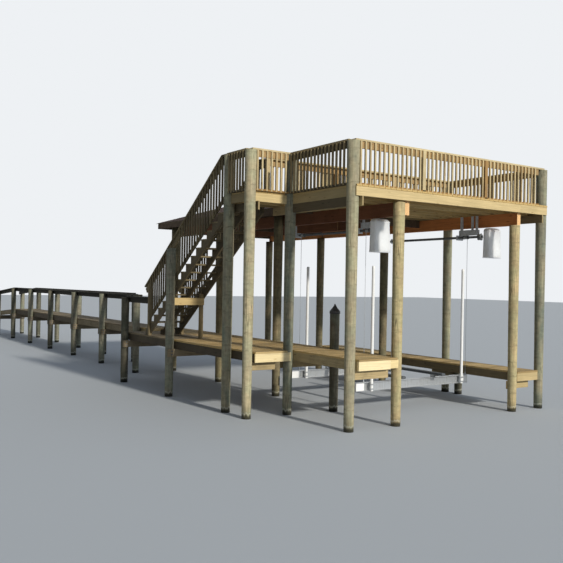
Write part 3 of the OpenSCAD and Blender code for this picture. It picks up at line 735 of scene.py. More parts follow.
def bolt_tree() -> Tree:
    """Builds the tree that sets a hex head on a round washer at each point.

    Returns:
        The tree.
    """
    tree, start = new_tree("bolts_on_points", {"Head": 0.013, "Washer": 0.022, "Height": 0.011})
    sizes = start.outputs
    head = add(tree, ROD, Vertices=6, Radius=sizes["Head"], Depth=sizes["Height"])
    lift = add(tree, "CombineXYZ", Z=add(tree, "Math:MULTIPLY_ADD", sizes["Height"], 0.5, 0.003))
    head = add(tree, MOVE, head, Offset=lift)
    washer = add(tree, ROD, Vertices=16, Radius=sizes["Washer"], Depth=0.006)
    both = add(tree, "GeometryNodeJoinGeometry", head)
    tree.links.new(washer, both.node.inputs[0])
    turn = add(tree, TO_ROTATION, add(tree, READ, "turn", data_type="FLOAT_VECTOR"))
    bolts = add(tree, SPREAD, sizes["Geometry"], Instance=both, Rotation=turn)
    return end_tree(tree, start, add(tree, REALIZE, bolts))


# Making pieces


def settle(piece: bpy.types.Object, body: Body | None, slot: str, *nodes: str) -> None:
    """Sets a piece on its body and hides the nodes that it replaces.

    Args:
        piece: The piece.
        body: Body that it rides on, or None to leave it on no body.
        slot: The record's material slot; not used.
        *nodes: CAD nodes that it replaces.
    """
    if body:
        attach(piece, body.value)
    if nodes:
        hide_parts(*nodes)
    LOG.info("%s: %d faces", piece.name, len(piece.data.polygons))


class Workshop:
    """Holds the frame, the trees and the materials that every sub-assembly shares."""

    def __init__(self, frame: dict) -> None:
        """Builds the trees once."""
        self.frame = frame
        self.boards, self.poles, self.bolts = board_tree(), pile_tree(), bolt_tree()
        self.materials: dict[str, bpy.types.Material] = {}

    def material(self, finish: Finish) -> bpy.types.Material:
        """Gives the material of a finish, built on first use.

        Args:
            finish: The finish.

        Returns:
            Its material.
        """
        if finish.name not in self.materials:
            self.materials[finish.name] = finish.material()
        return self.materials[finish.name]

    def grow(self, name: str, tree: Tree, finish: Finish, points: list[Triple], attributes: dict[str, list],
             inputs: dict[str, float] | None = None, arris: float = 0.0) -> bpy.types.Object:
        """Runs a tree over points and turns the result into a plain mesh.

        Args:
            name: Name of the piece.
            tree: One of the shared trees.
            finish: Finish of the piece.
            points: Points in metres.
            attributes: Attribute names with one number or vector to a point.
            inputs: Values for the tree's named inputs.
            arris: Width of the bevel on every edge in metres, or 0.

        Returns:
            The piece, at the origin.
        """
        mesh = bpy.data.meshes.new(name)
        mesh.from_pydata(points, [], [])
        for label, values in attributes.items():
            kind, part = ("FLOAT_VECTOR", "vector") if isinstance(values[0], tuple) else ("FLOAT", "value")
            for item, value in zip(mesh.attributes.new(label, kind, "POINT").data, values):
                setattr(item, part, value)
        source = new_object(name + "_points", mesh)
        modifier = source.modifiers.new("tree", "NODES")
        modifier.node_group = tree
        wanted = {"Material": self.material(finish), **(inputs or {})}
        for item in tree.interface.items_tree:
            if item.in_out == "INPUT" and item.name in wanted:
                modifier[item.identifier] = wanted[item.name]
        if arris:
            bevel = source.modifiers.new("arris", "BEVEL")
            bevel.width, bevel.segments, bevel.limit_method = arris, 1, "ANGLE"
        graph = bpy.context.evaluated_depsgraph_get()
        result = bpy.data.meshes.new_from_object(source.evaluated_get(graph), preserve_all_data_layers=True,
                                                 depsgraph=graph)
        result.name = name
        for spare in WORKING:
            if spare in result.attributes:
                result.attributes.remove(result.attributes[spare])
        bpy.data.objects.remove(source)
        return new_object(name, result)

    def mould(self, name: str, mesh: Mesh, finish: Finish, body: Body | None, slot: str, *nodes: str,
              smooth: float = 35.0) -> bpy.types.Object:
        """Turns a bmesh into a settled piece with outward faces.

        Args:
            name: Name of the piece.
            mesh: The bmesh; it is freed.
            finish: Finish of the piece.
            body: Body that it rides on, or None to leave it on no body.
            slot: The record's material slot.
            *nodes: CAD nodes that it replaces.
            smooth: Angle in degrees under which edges are smooth.

        Returns:
            The piece.
        """
        bmesh.ops.recalc_face_normals(mesh, faces=mesh.faces)
        data = bpy.data.meshes.new(name)
        mesh.to_mesh(data)
        mesh.free()
        data.materials.append(self.material(finish))
        for face in data.polygons:
            face.use_smooth = True
        data.set_sharp_from_angle(angle=math.radians(smooth))
        piece = new_object(name, data)
        settle(piece, body, slot, *nodes)
        return piece

    def dress(self, node: str, finish: Finish) -> None:
        """Gives a CAD node that stays its own finish.

        Args:
            node: The node's name.
            finish: Its finish.
        """
        found = self.frame["nodes"][node]
        for piece in found if isinstance(found, list) else [found]:
            piece.data.materials.clear()
            piece.data.materials.append(self.material(finish))


@dataclass
class BoardSet:
    """Boards, blocks or tabs that become one piece."""

    name: str
    seed: int = 1
    place: Matrix = field(default_factory=Matrix)
    centres: list[Triple] = field(default_factory=list)
    sizes: list[Triple] = field(default_factory=list)
    turns: list[Triple] = field(default_factory=list)
    tones: list[float] = field(default_factory=list)

    def __post_init__(self) -> None:
        """Starts the fixed order of random tones."""
        self.random = random.Random(self.seed)

    def block(self, low: Triple, size: Triple, along: Axis | None = None, tone: float | None = None) -> None:
        """Adds a board from its low corner and its size, as the part's source gives them.

        Args:
            low: Low corner in mm.
            size: Size in mm.
            along: Direction of the grain, or None for the longest side.
            tone: From 0, dark, to 1, pale, or None for a random tone.
        """
        if min(size) <= 1:
            return
        order, turn = {
            Axis.X: ((0, 1, 2), Matrix()),
            Axis.Y: ((1, 0, 2), Matrix.Rotation(math.pi / 2, 4, "Z")),
            Axis.Z: ((2, 1, 0), Matrix.Rotation(-math.pi / 2, 4, "Y")),
        }[along or Axis(size.index(max(size)))]
        centre = Vector([(low[i] + size[i] / 2) * MM for i in range(3)])
        self.turned(centre, tuple(size[i] * MM for i in order), turn, tone)

    def turned(self, centre: Vector, size: Triple, matrix: Matrix, tone: float | None = None) -> None:
        """Adds a board with its own turn.

        Args:
            centre: Centre in metres.
            size: Length, width and thickness in metres.
            matrix: Turn of the board, length along its X.
            tone: From 0, dark, to 1, pale, or None for a random tone.
        """
        self.centres.append(tuple(self.place @ centre))
        self.sizes.append(size)
        self.turns.append(tuple((self.place @ matrix).to_euler()))
        chance = self.random.random()
        self.tones.append(chance if tone is None else tone)

    def rail(self, start: Triple, end: Triple, width: float, depth: float) -> None:
        """Adds a board between two points, its width flat and its depth upright.

        Args:
            start: Centre of one end in mm.
            end: Centre of the other end in mm.
            width: Level width in mm.
            depth: Upright thickness in mm.
        """
        a, b = Vector(start) * MM, Vector(end) * MM
        run = (b - a).normalized()
        side = Vector((0, 0, 1)).cross(run).normalized()
        size = ((b - a).length, width * MM, depth * MM)
        self.turned((a + b) / 2, size, basis(run, side, run.cross(side)))

    def build(self, shop: Workshop, finish: Finish, body: Body, slot: str, *nodes: str,
              arris: float = 3.0) -> None:
        """Makes the piece, sets it on its body and names what it replaces.

        Args:
            shop: Shared trees and materials.
            finish: Finish of the boards.
            body: Body that they ride on.
            slot: The record's material slot.
            *nodes: CAD nodes that the piece replaces.
            arris: Width of the edge bevel in mm.
        """
        attributes = {"size": self.sizes, "turn": self.turns, "tone": self.tones}
        piece = shop.grow(self.name, shop.boards, finish, self.centres, attributes, {"Seed": self.seed},
                          arris * MM)
        settle(piece, body, slot, *nodes)


DECK_PITCH = 146.0
DECK_GAP = 6.0
SHORTEST_BOARD = 30.0


def deck(boards: BoardSet, left: float, right: float, near: float, far: float, top: float,
         piles: list[Pile], lengthwise: bool = False) -> None:
    """Lays deck boards and cuts them beside each pile that comes up through them.

    Args:
        boards: Set that takes the boards.
        left: Low X in mm.
        right: High X in mm.
        near: Low Y in mm.
        far: High Y in mm.
        top: Top of the deck in mm.
        piles: Piles to leave room for.
        lengthwise: Whether the boards run along Y.
    """
    start, end, low, high = (near, far, left, right) if lengthwise else (left, right, near, far)
    count = max(1, round((high - low) / DECK_PITCH))
    step = (high - low) / count
    wide, reach = step - DECK_GAP, PLAN.pile_radius(top) + DECK_GAP
    for i in range(count):
        line = low + i * step + DECK_GAP / 2
        cuts = []
        for x, y, pile_top in piles:
            across, along = (x, y) if lengthwise else (y, x)
            off = max(0.0, abs(across - line - wide / 2) - wide / 2)
            if off < reach and pile_top > top:
                half = math.sqrt(reach**2 - off**2)
                cuts.append((along - half, along + half))
        at = start
        for cut_low, cut_high in sorted(cuts) + [(end, end)]:
            length = min(cut_low, end) - at
            if length > SHORTEST_BOARD and lengthwise:
                boards.block((line, at, top - PLAN.thick), (wide, length, PLAN.thick), Axis.Y)
            elif length > SHORTEST_BOARD:
                boards.block((at, line, top - PLAN.thick), (length, wide, PLAN.thick), Axis.X)
            at = max(at, cut_high)


def skin(mesh: Mesh, rings: list[list[bmesh.types.BMVert]]) -> None:
    """Joins rings of points with faces.

    Args:
        mesh: The bmesh.
        rings: Rings of the same number of points, or of one point at a pole.
    """
    for low, high in zip(rings, rings[1:]):
        count = max(len(low), len(high))
        for i in range(count):
            j = (i + 1) % count
            corners = (low[i % len(low)], low[j % len(low)], high[j % len(high)], high[i % len(high)])
            mesh.faces.new(list(dict.fromkeys(corners)))


def revolve(mesh: Mesh, outline: list[tuple[float, float]], matrix: Matrix, sides: int = 24) -> None:
    """Turns an outline about the matrix's Z and adds it to a bmesh.

    Args:
        mesh: The bmesh.
        outline: Radius and height in mm, from one closed end to the other.
        matrix: Place and turn in metres.
        sides: Number of sides.
    """
    angles = [2 * math.pi * i / sides for i in range(sides)]
    skin(mesh, [[mesh.verts.new(matrix @ (Vector((radius * math.cos(a), radius * math.sin(a), height)) * MM))
                 for a in angles[: sides if radius else 1]] for radius, height in outline])


# Sub-assemblies


@dataclass
class SubAssembly:
    """A part of the jetty that makes its own pieces with the shared workshop."""

    shop: Workshop

    def build(self) -> None:
        """Makes every piece of the sub-assembly."""
        raise NotImplementedError


@dataclass
class Piles(SubAssembly):
    """Every pole of the jetty, cut level at the water and sawn flat at the top."""

    # The two front girder poles get pale tones; those behind get dark tones as painted shade of the deck
    # above them, and so does the landing pole among the low poles
    tall_tones: tuple[float, ...] = (0.7, 0.3, 0.15, 0.85, 0.45, 0.5)
    girder_tones: tuple[float, ...] = (1.0, 1.0, 0.0, 0.35, 0.1, 0.1, 0.1, 0.1)
    low_tones: tuple[float, ...] = (1.0, 0.0, 0.3, 0.3, 0.3)

    def walkway(self) -> list[Pile]:
        """Gives the two rows of the walkway."""
        return [(x, y, PLAN.walk_rail_top - PLAN.thick - PLAN.fall(y)) for y in PLAN.bents
                for x in (PLAN.walk_near, PLAN.walk_far) if x == PLAN.walk_near or y > PLAN.walk_start]

    def raise_poles(self, name: str, finish: PileWood, poles: list[Pile], node: str,
                    tones: tuple[float, ...] = ()) -> None:
        """Makes one piece of poles.

        Args:
            name: Name of the piece.
            finish: Finish of the poles.
            poles: Their places and tops in mm.
            node: CAD node that the piece replaces.
            tones: Tone of each pole from 0 to 1, or none for random ones.
        """
        rng = random.Random(name)
        centres = [(x * MM, y * MM, 0.0) for x, y, _ in poles]
        attributes = {"tall": [top * MM for _, _, top in poles], "centre": centres,
                      "tone": list(tones) or [rng.random() for _ in poles]}
        sizes = {"Foot Radius": PLAN.pile_foot_d / 2 * MM,
                 "Taper": (PLAN.pile_butt_d - PLAN.pile_foot_d) / 2 / PLAN.rail_top}
        piece = self.shop.grow(name, self.shop.poles, finish, centres, attributes, sizes)
        settle(piece, Body.JETTY, "pile_wood", node)

    def build(self) -> None:
        """Makes the piles and the pointed cap."""
        low = [STAIR_PILE, LANDING_PILE]
        low += [(PLAN.outer_row, y, PLAN.catwalk_under) for y in PLAN.catwalk_rows]
        self.raise_poles("tall_poles", PILES, TALL, "tall_piles", self.tall_tones)
        self.raise_poles("girder_poles", NEW_PILES, GIRDER_PILES, "girder_piles", self.girder_tones)
        self.raise_poles("low_poles", OLD_AND_SHADED_PILES, low, "low_piles", self.low_tones)
        self.raise_poles("short_pole", OLD_AND_SHADED_PILES, [SHORT_PILE], "short_pile")
        self.raise_poles("walkway_poles", OLD_AND_SHADED_PILES, self.walkway(), "walkway_piles")
        self.pointed_cap()

    def pointed_cap(self) -> None:
        """Turns the moulded cone with its rounded skirt and rim."""
        r = PLAN.pile_radius(SHORT_PILE[2])
        outline = [(0, 0), (r + 4, 0), (r + 9, 3), (r + 10, 8), (r + 9.5, 52), (r + 7, 60), (r + 1, 66),
                   (r * 0.62, 118), (r * 0.3, 168), (16, 206), (9, 217), (3, 221), (0, 222)]
        mesh = bmesh.new()
        revolve(mesh, outline, Matrix.Translation(Vector(SHORT_PILE) * MM), 40)
        self.shop.mould("pointed_pile_cap", mesh, BLACK_PLASTIC, Body.JETTY, "black_cap", "short_pile_cap")


@dataclass
class Dock(SubAssembly):
    """The dock beside the slip and the landing that the stair stands on."""

    left: float = 100
    right: float = 1200
    end_cap: float = 985
    cap_past: float = 70
    end_board: float = 824
    landing_left: float = -PLAN.stair_row + PLAN.pile_radius(PLAN.dock_top) + 2
    landing_wide: float = -PLAN.stair_row - 12
    landing_right: float = 85
    landing_start: float = PLAN.tab_start - PLAN.pile_radius(PLAN.dock_top) - PLAN.thick - 2
    landing_step: float = PLAN.upper_depth + PLAN.pile_radius(PLAN.dock_top) + 4
    landing_old: float = 5740
    landing_end: float = 8600
    stringers: tuple[float, ...] = (100, 525, 947)
    landing_stringers: tuple[float, ...] = (-620, -338)

    def build(self) -> None:
        """Makes caps, stringers, edge boards and both decks."""
        self.caps()
        self.beams()
        self.fascias()
        self.decks()

    def caps(self) -> None:
        """Makes the boards across the pile rows, under the stringers."""
        side, under, thick = PLAN.pile_radius(PLAN.stringer_under), PLAN.stringer_under - PLAN.w8, PLAN.thick
        row, tab, past = PLAN.stair_row, PLAN.tab_start, self.cap_past
        caps = BoardSet("dock_cap_boards", 11)
        caps.block((0, -thick / 2, under), (self.end_cap, thick, PLAN.w8), tone=1.0)
        for y in (tab + 60, *PLAN.rows[:2]):
            caps.block((-past, y + side, under), (PLAN.slip_left + 2 * past, thick, PLAN.w8), tone=0.7)
        caps.block((-row, tab + thick, under), (row - 300, thick, PLAN.w8), tone=0.9)
        caps.build(self.shop, FRAME_LUMBER, Body.JETTY, "new_lumber", "dock_caps")
        old = BoardSet("landing_cap_boards", 16)
        for (x, y, _), tone in ((STAIR_PILE, 1.0), (LANDING_PILE, 0.7)):
            old.block((x - side, y - side - thick, under), (60 - x + side, thick, PLAN.w8), tone=tone)
        old.build(self.shop, GREY_LUMBER, Body.JETTY, "new_lumber")

    def beams(self) -> None:
        """Makes the stringers under both decks."""
        beams = BoardSet("dock_stringer_boards", 12)
        front, landing = PLAN.fascia_front + PLAN.thick, self.landing_start + PLAN.thick
        lines = [(x, front, PLAN.walk_start, 0.9) for x in self.stringers]
        # The landing's stringers face away from the light and get the darkest tone as painted shade
        lines += [(x, landing, self.landing_end, 0.0) for x in self.landing_stringers]
        lines += [(self.landing_left, landing, self.landing_step - 4, 0.0),
                  (self.landing_wide, self.landing_step, self.landing_end, 0.0)]
        for x, start, end, tone in lines:
            beams.block((x, start, PLAN.stringer_under), (PLAN.thick, end - start, PLAN.w8), tone=tone)
        beams.build(self.shop, FRAME_LUMBER, Body.JETTY, "new_lumber", "dock_stringers")

    def fascias(self) -> None:
        """Makes the new yellow boards at the outer ends of the dock and the landing."""
        ends = BoardSet("end_fascia_boards", 13)
        front, low, seam = PLAN.fascia_front, PLAN.stringer_under, self.end_board
        # The dock's end is one board and a short piece let in beside it
        ends.block((self.left + 10, front, low), (seam, PLAN.thick, PLAN.w8), tone=0.9)
        ends.block((self.left + 12 + seam, front + 6, low + 14),
                   (self.right - self.left - 62 - seam, PLAN.thick - 6, PLAN.w8 - 14), tone=0.2)
        ends.block((self.landing_left, self.landing_start, low),
                   (-15 - self.landing_left, PLAN.thick, PLAN.w8))
        ends.build(self.shop, FASCIA_LUMBER, Body.JETTY, "new_lumber", "end_fascias")

    def decks(self) -> None:
        """Lays the boards of the dock and of the landing."""
        piles = TALL + GIRDER_PILES + [SHORT_PILE]
        top, right = PLAN.dock_top, self.landing_right
        dock = BoardSet("dock_deck_boards", 14)
        deck(dock, self.left, self.right, PLAN.fascia_front - 10, PLAN.walk_start, top, piles)
        dock.build(self.shop, DECK_LUMBER, Body.JETTY, "new_lumber", "dock_deck")
        landing = BoardSet("landing_deck_boards", 15)
        deck(landing, self.landing_left, right, self.landing_start - 10, self.landing_step - 4, top, piles)
        deck(landing, self.landing_wide, right, self.landing_step, self.landing_old, top, piles)
        landing.build(self.shop, DECK_LUMBER, Body.JETTY, "new_lumber", "landing_deck")
        old = BoardSet("old_landing_deck_boards", 17)
        deck(old, self.landing_wide, right, self.landing_old, self.landing_end, top, piles)
        old.build(self.shop, GREY_LUMBER, Body.JETTY, "new_lumber")


@dataclass
class Walkway(SubAssembly):
    """The railed walkway in six bays, the last of which falls to the shore."""

    left: float = PLAN.walk_near + PLAN.pile_radius(PLAN.dock_top) + 2
    right: float = PLAN.walk_far - PLAN.pile_radius(PLAN.dock_top) - 2
    cap_past: float = 90
    landing_rail_start: float = 7240
    rail_overhang: float = 110
    ramp_rail_past: float = 96
    joint: float = 3
    ramp_joint: float = 8
    shortest: float = 100

    @property
    def ramp(self) -> Matrix:
        """Turn that lays the last bay down to its slope.

        Returns:
            The turn about the line where the slope begins.
        """
        pivot = Vector((0, PLAN.level_end * MM, PLAN.dock_top * MM))
        angle = -math.atan(PLAN.ramp_fall / PLAN.bay)
        return Matrix.Translation(pivot) @ Matrix.Rotation(angle, 4, "X") @ Matrix.Translation(-pivot)

    def build(self) -> None:
        """Makes caps, stringers, decking and both rails."""
        self.caps()
        self.beams()
        self.decking()
        self.rails()

    def caps(self) -> None:
        """Makes a pair of boards on each row."""
        caps = BoardSet("walkway_cap_boards", 21)
        side = PLAN.pile_radius(PLAN.stringer_under)
        for y in PLAN.bents:
            for edge in (side, -side - PLAN.thick):
                fall = PLAN.fall(y) + PLAN.cap_drop(y + edge)
                caps.block((PLAN.walk_near - self.cap_past, y + edge, PLAN.stringer_under - PLAN.w8 - fall),
                           (PLAN.walk_far - PLAN.walk_near + 2 * self.cap_past, PLAN.thick, PLAN.w8))
        caps.build(self.shop, GREY_LUMBER, Body.JETTY, "grey_lumber", "walkway_caps")

    def bays(self, boards: BoardSet, x: float, low: float, size: tuple[float, float], start: float,
             lead: float, past: float = 0.0) -> None:
        """Adds one line of boards along the walkway, a joint at every second row, and on down the last bay.

        Args:
            boards: Set that takes them.
            x: Low X in mm.
            low: Low Z in mm.
            size: Width and height in mm.
            start: Low Y in mm.
            lead: How far behind the bend the sloping board starts, in mm.
            past: How far the last board runs past the end, in mm.
        """
        y = start
        for stop in PLAN.bents[2:-1:2] + [PLAN.level_end]:
            if stop - y > self.shortest:
                boards.block((x, y, low), (size[0], stop - y - self.joint, size[1]), Axis.Y)
                y = stop
        boards.place = self.ramp
        boards.block((x, PLAN.level_end + lead, low), (size[0], PLAN.bay + past - lead, size[1]), Axis.Y)
        boards.place = Matrix()

    def beams(self) -> None:
        """Makes the three lines of stringers."""
        beams = BoardSet("walkway_stringer_boards", 22)
        for x in (self.left, (self.left + self.right - PLAN.thick) / 2, self.right - PLAN.thick):
            self.bays(beams, x, PLAN.stringer_under, (PLAN.thick, PLAN.w8), PLAN.walk_start + 4, 22)
        beams.build(self.shop, GREY_LUMBER, Body.JETTY, "grey_lumber", "walkway_stringers")

    def decking(self) -> None:
        """Lays the deck boards across the walkway and down the last bay."""
        boards = BoardSet("walkway_deck_boards", 23)
        bend, joint = PLAN.level_end, self.ramp_joint
        deck(boards, self.left, self.right, PLAN.walk_start + 4, bend, PLAN.dock_top, [])
        boards.place = self.ramp
        deck(boards, self.left, self.right, bend + joint, bend + PLAN.bay + joint, PLAN.dock_top, [])
        boards.build(self.shop, GREY_LUMBER, Body.JETTY, "grey_lumber", "walkway_deck")

    def rails(self) -> None:
        """Makes the flat caps over the piles with a board on edge under each."""
        top, thick, wide = PLAN.walk_rail_top - PLAN.thick, PLAN.thick, PLAN.w6
        radius = PLAN.pile_radius(top)
        lead = -(top - PLAN.dock_top - wide) * PLAN.ramp_fall / PLAN.bay
        near, far = PLAN.walk_near + radius - 4, PLAN.walk_far - radius + 4 - thick
        start = PLAN.walk_start - self.rail_overhang
        for name, seed, inner, cap, first, node in (
                ("walkway_near_rail", 24, near, near + thick - wide, start, "walkway_rail_near"),
                ("walkway_far_rail", 25, far, far, start + PLAN.bay, "walkway_rail_far")):
            rail = BoardSet(name, seed)
            self.bays(rail, cap, top, (wide, thick), first, lead, self.ramp_rail_past)
            self.bays(rail, inner, top - wide, (thick, wide), first, lead, self.ramp_rail_past)
            if inner == near:
                x, low = LANDING_PILE[0] + radius - 4, self.landing_rail_start
                long = LANDING_PILE[1] + self.rail_overhang - low
                rail.block((x + thick - wide, low, top), (wide, long, thick), Axis.Y)
                rail.block((x, low, top - wide), (thick, long, wide), Axis.Y)
            rail.build(self.shop, DARK_LUMBER, Body.JETTY, "grey_lumber", node)


@dataclass
class Catwalk(SubAssembly):
    """The lower catwalk along the right of the slip."""

    end: float = 7540
    left: float = PLAN.slip_right + PLAN.pile_radius(PLAN.catwalk_top) + 2
    right: float = PLAN.outer_row - PLAN.pile_radius(PLAN.catwalk_top) - 2

    def build(self) -> None:
        """Makes the frame and the decking."""
        left, right, under, thick = self.left, self.right, PLAN.catwalk_under, PLAN.thick
        low = under - PLAN.w8 - 2
        boards = BoardSet("catwalk_frame_boards", 31)
        for x in (left, right - thick):
            boards.block((x, -18, under), (thick, self.end + 18, PLAN.w8), tone=0.3)
        for row in PLAN.catwalk_rows:
            boards.block((left, row + PLAN.pile_radius(under), low),
                         (PLAN.outer_row + 40 - left, thick, PLAN.w8), tone=0.3)
        boards.build(self.shop, FRAME_LUMBER, Body.JETTY, "new_lumber", "catwalk_frame")
        ends = BoardSet("catwalk_end_boards", 33)
        ends.block((left, -60, under), (right - left, thick, PLAN.w8))
        ends.block((PLAN.slip_right - 30, 110, low), (PLAN.outer_row - 200 - PLAN.slip_right, thick, PLAN.w8))
        ends.build(self.shop, RIM_LUMBER, Body.JETTY, "new_lumber")
        top = BoardSet("catwalk_deck_boards", 32)
        deck(top, left, right, -70, self.end, PLAN.catwalk_top, TALL)
        top.build(self.shop, DECK_LUMBER, Body.JETTY, "new_lumber", "catwalk_deck")


@dataclass
class UpperFrame(SubAssembly):
    """Girders, beams, joists and edge boards that carry the upper deck."""

    girder_end: float = 10420
    joist_count: int = 6
    left_girder: float = PLAN.slip_left + PLAN.pile_radius(PLAN.joist_under - 30)
    right_girder: float = PLAN.slip_right + 24
    girder_start: float = -50
    middle_start: float = PLAN.upper_depth + 80
    shortest_ply: float = 200
    front_seam: float = 4847

    def build(self) -> None:
        """Makes every board of the frame and the deck."""
        self.girders()
        self.beams()
        self.joists()
        self.rims()
        self.decking()

    def girders(self) -> None:
        """Makes the girders of two or three plies, bolted side by side."""
        low, thick = PLAN.joist_under - PLAN.w12, PLAN.thick
        middle = (self.left_girder + self.right_girder + 3 * thick) / 2 - thick
        # The left girder and the middle beam take the dark copy of the stain as painted shade, the right
        # girder the bright copy as painted light
        for name, node, finish, x, plies, start in (
                ("left_girder_plies", "left_girder", SHADED_RED_LUMBER, self.left_girder, 3, self.girder_start),
                ("right_girder_plies", "right_girder", RED_LUMBER, self.right_girder, 3, self.girder_start),
                ("middle_beam_plies", "middle_beam", SHADED_RED_LUMBER, middle, 2, self.middle_start)):
            girder = BoardSet(name, len(name))
            for i in range(plies):
                y = start
                for stop in (PLAN.rows[i % 2], PLAN.rows[2] if i == 1 else self.girder_end, self.girder_end):
                    if stop - y > self.shortest_ply:
                        girder.block((x + i * thick + 1, y, low), (thick - 2, stop - y - 2, PLAN.w12), Axis.Y)
                        y = stop
            girder.build(self.shop, finish, Body.JETTY, "red_lumber", node)

    def beams(self) -> None:
        """Makes the boards on the pile rows under the joists."""
        face, low = PLAN.pile_radius(PLAN.joist_under) - 3, PLAN.joist_under - PLAN.w8
        front, tab, thick = PLAN.fascia_front, PLAN.tab_start, PLAN.thick
        depth = PLAN.upper_depth - front
        left = BoardSet("left_beam_boards", 41)
        left.block((face, front, low), (thick, depth, PLAN.w8), tone=0.9)
        # The other two beams get the darkest tone as painted shade under the deck
        left.block((-PLAN.stair_row + face, tab - 140, low),
                   (thick, PLAN.upper_depth - tab + 145, PLAN.w8), tone=0.1)
        left.block((-thick / 2, 0, low), (thick, tab, PLAN.w8), tone=0.1)
        left.build(self.shop, FRAME_LUMBER, Body.JETTY, "new_lumber", "left_beams")
        right = BoardSet("right_beam_board", 42)
        # A middle tone as painted shade, since this beam faces away from the light
        right.block((PLAN.outer_row - face - thick, front, low), (thick, depth, PLAN.w8), tone=0.4)
        right.build(self.shop, FRAME_LUMBER, Body.JETTY, "new_lumber", "right_beam")

    def joists(self) -> None:
        """Makes the joists along X, the last ones out to the stair head."""
        joists = BoardSet("joist_boards", 43)
        step = (PLAN.upper_depth - PLAN.fascia_front) / (self.joist_count + 1)
        for i in range(1, self.joist_count + 1):
            y = PLAN.fascia_front + i * step
            start = 23 - (PLAN.stair_row if y > PLAN.tab_start + 100 else 0)
            joists.block((start, y, PLAN.joist_under), (PLAN.outer_row - 23 - start, PLAN.thick, PLAN.w8))
        joists.build(self.shop, NEW_LUMBER, Body.JETTY, "new_lumber", "joists")

    def rims(self) -> None:
        """Makes the fresh yellow edge boards round the deck."""
        rims = BoardSet("rim_edge_boards", 44)
        z, t, w, half = PLAN.joist_under, PLAN.thick, PLAN.w8, PLAN.thick / 2
        row, outer, tab = PLAN.stair_row, PLAN.outer_row, PLAN.tab_start
        front, back = PLAN.fascia_front, PLAN.upper_depth
        seam, inner = self.front_seam, front + t + 4
        # The rims that face -Y get pale tones and those that face -X dark ones, as painted light and shade
        for low, size, tone in (
                ((-30, front, z), (seam + 30, t, w), 0.9),
                ((seam + 2, front, z), (outer + 18 - seam, t, w), 0.8),
                ((-half, inner, z), (t, tab - inner, w), 0.3),
                ((-row, tab - half, z), (row, t, w), 1.0),
                ((-row - half, tab, z), (t, back - tab, w), 0.0),
                ((-row, back - half, z), (outer + row, t, w), None),
                ((outer - half, inner, z), (t, back - front - 2 * t, w), None)):
            rims.block(low, size, tone=tone)
        rims.build(self.shop, RIM_LUMBER, Body.JETTY, "new_lumber", "rim_boards")

    def decking(self) -> None:
        """Lays the upper deck's boards along Y."""
        boards = BoardSet("upper_deck_boards", 45)
        back, top = PLAN.upper_depth + 19, PLAN.upper_top
        deck(boards, -30, PLAN.outer_row + 20, PLAN.fascia_front - 10, back, top, TALL, lengthwise=True)
        deck(boards, -PLAN.stair_row - 19, -34, PLAN.tab_start - 29, back, top, TALL, lengthwise=True)
        boards.build(self.shop, NEW_LUMBER, Body.JETTY, "new_lumber", "upper_deck")


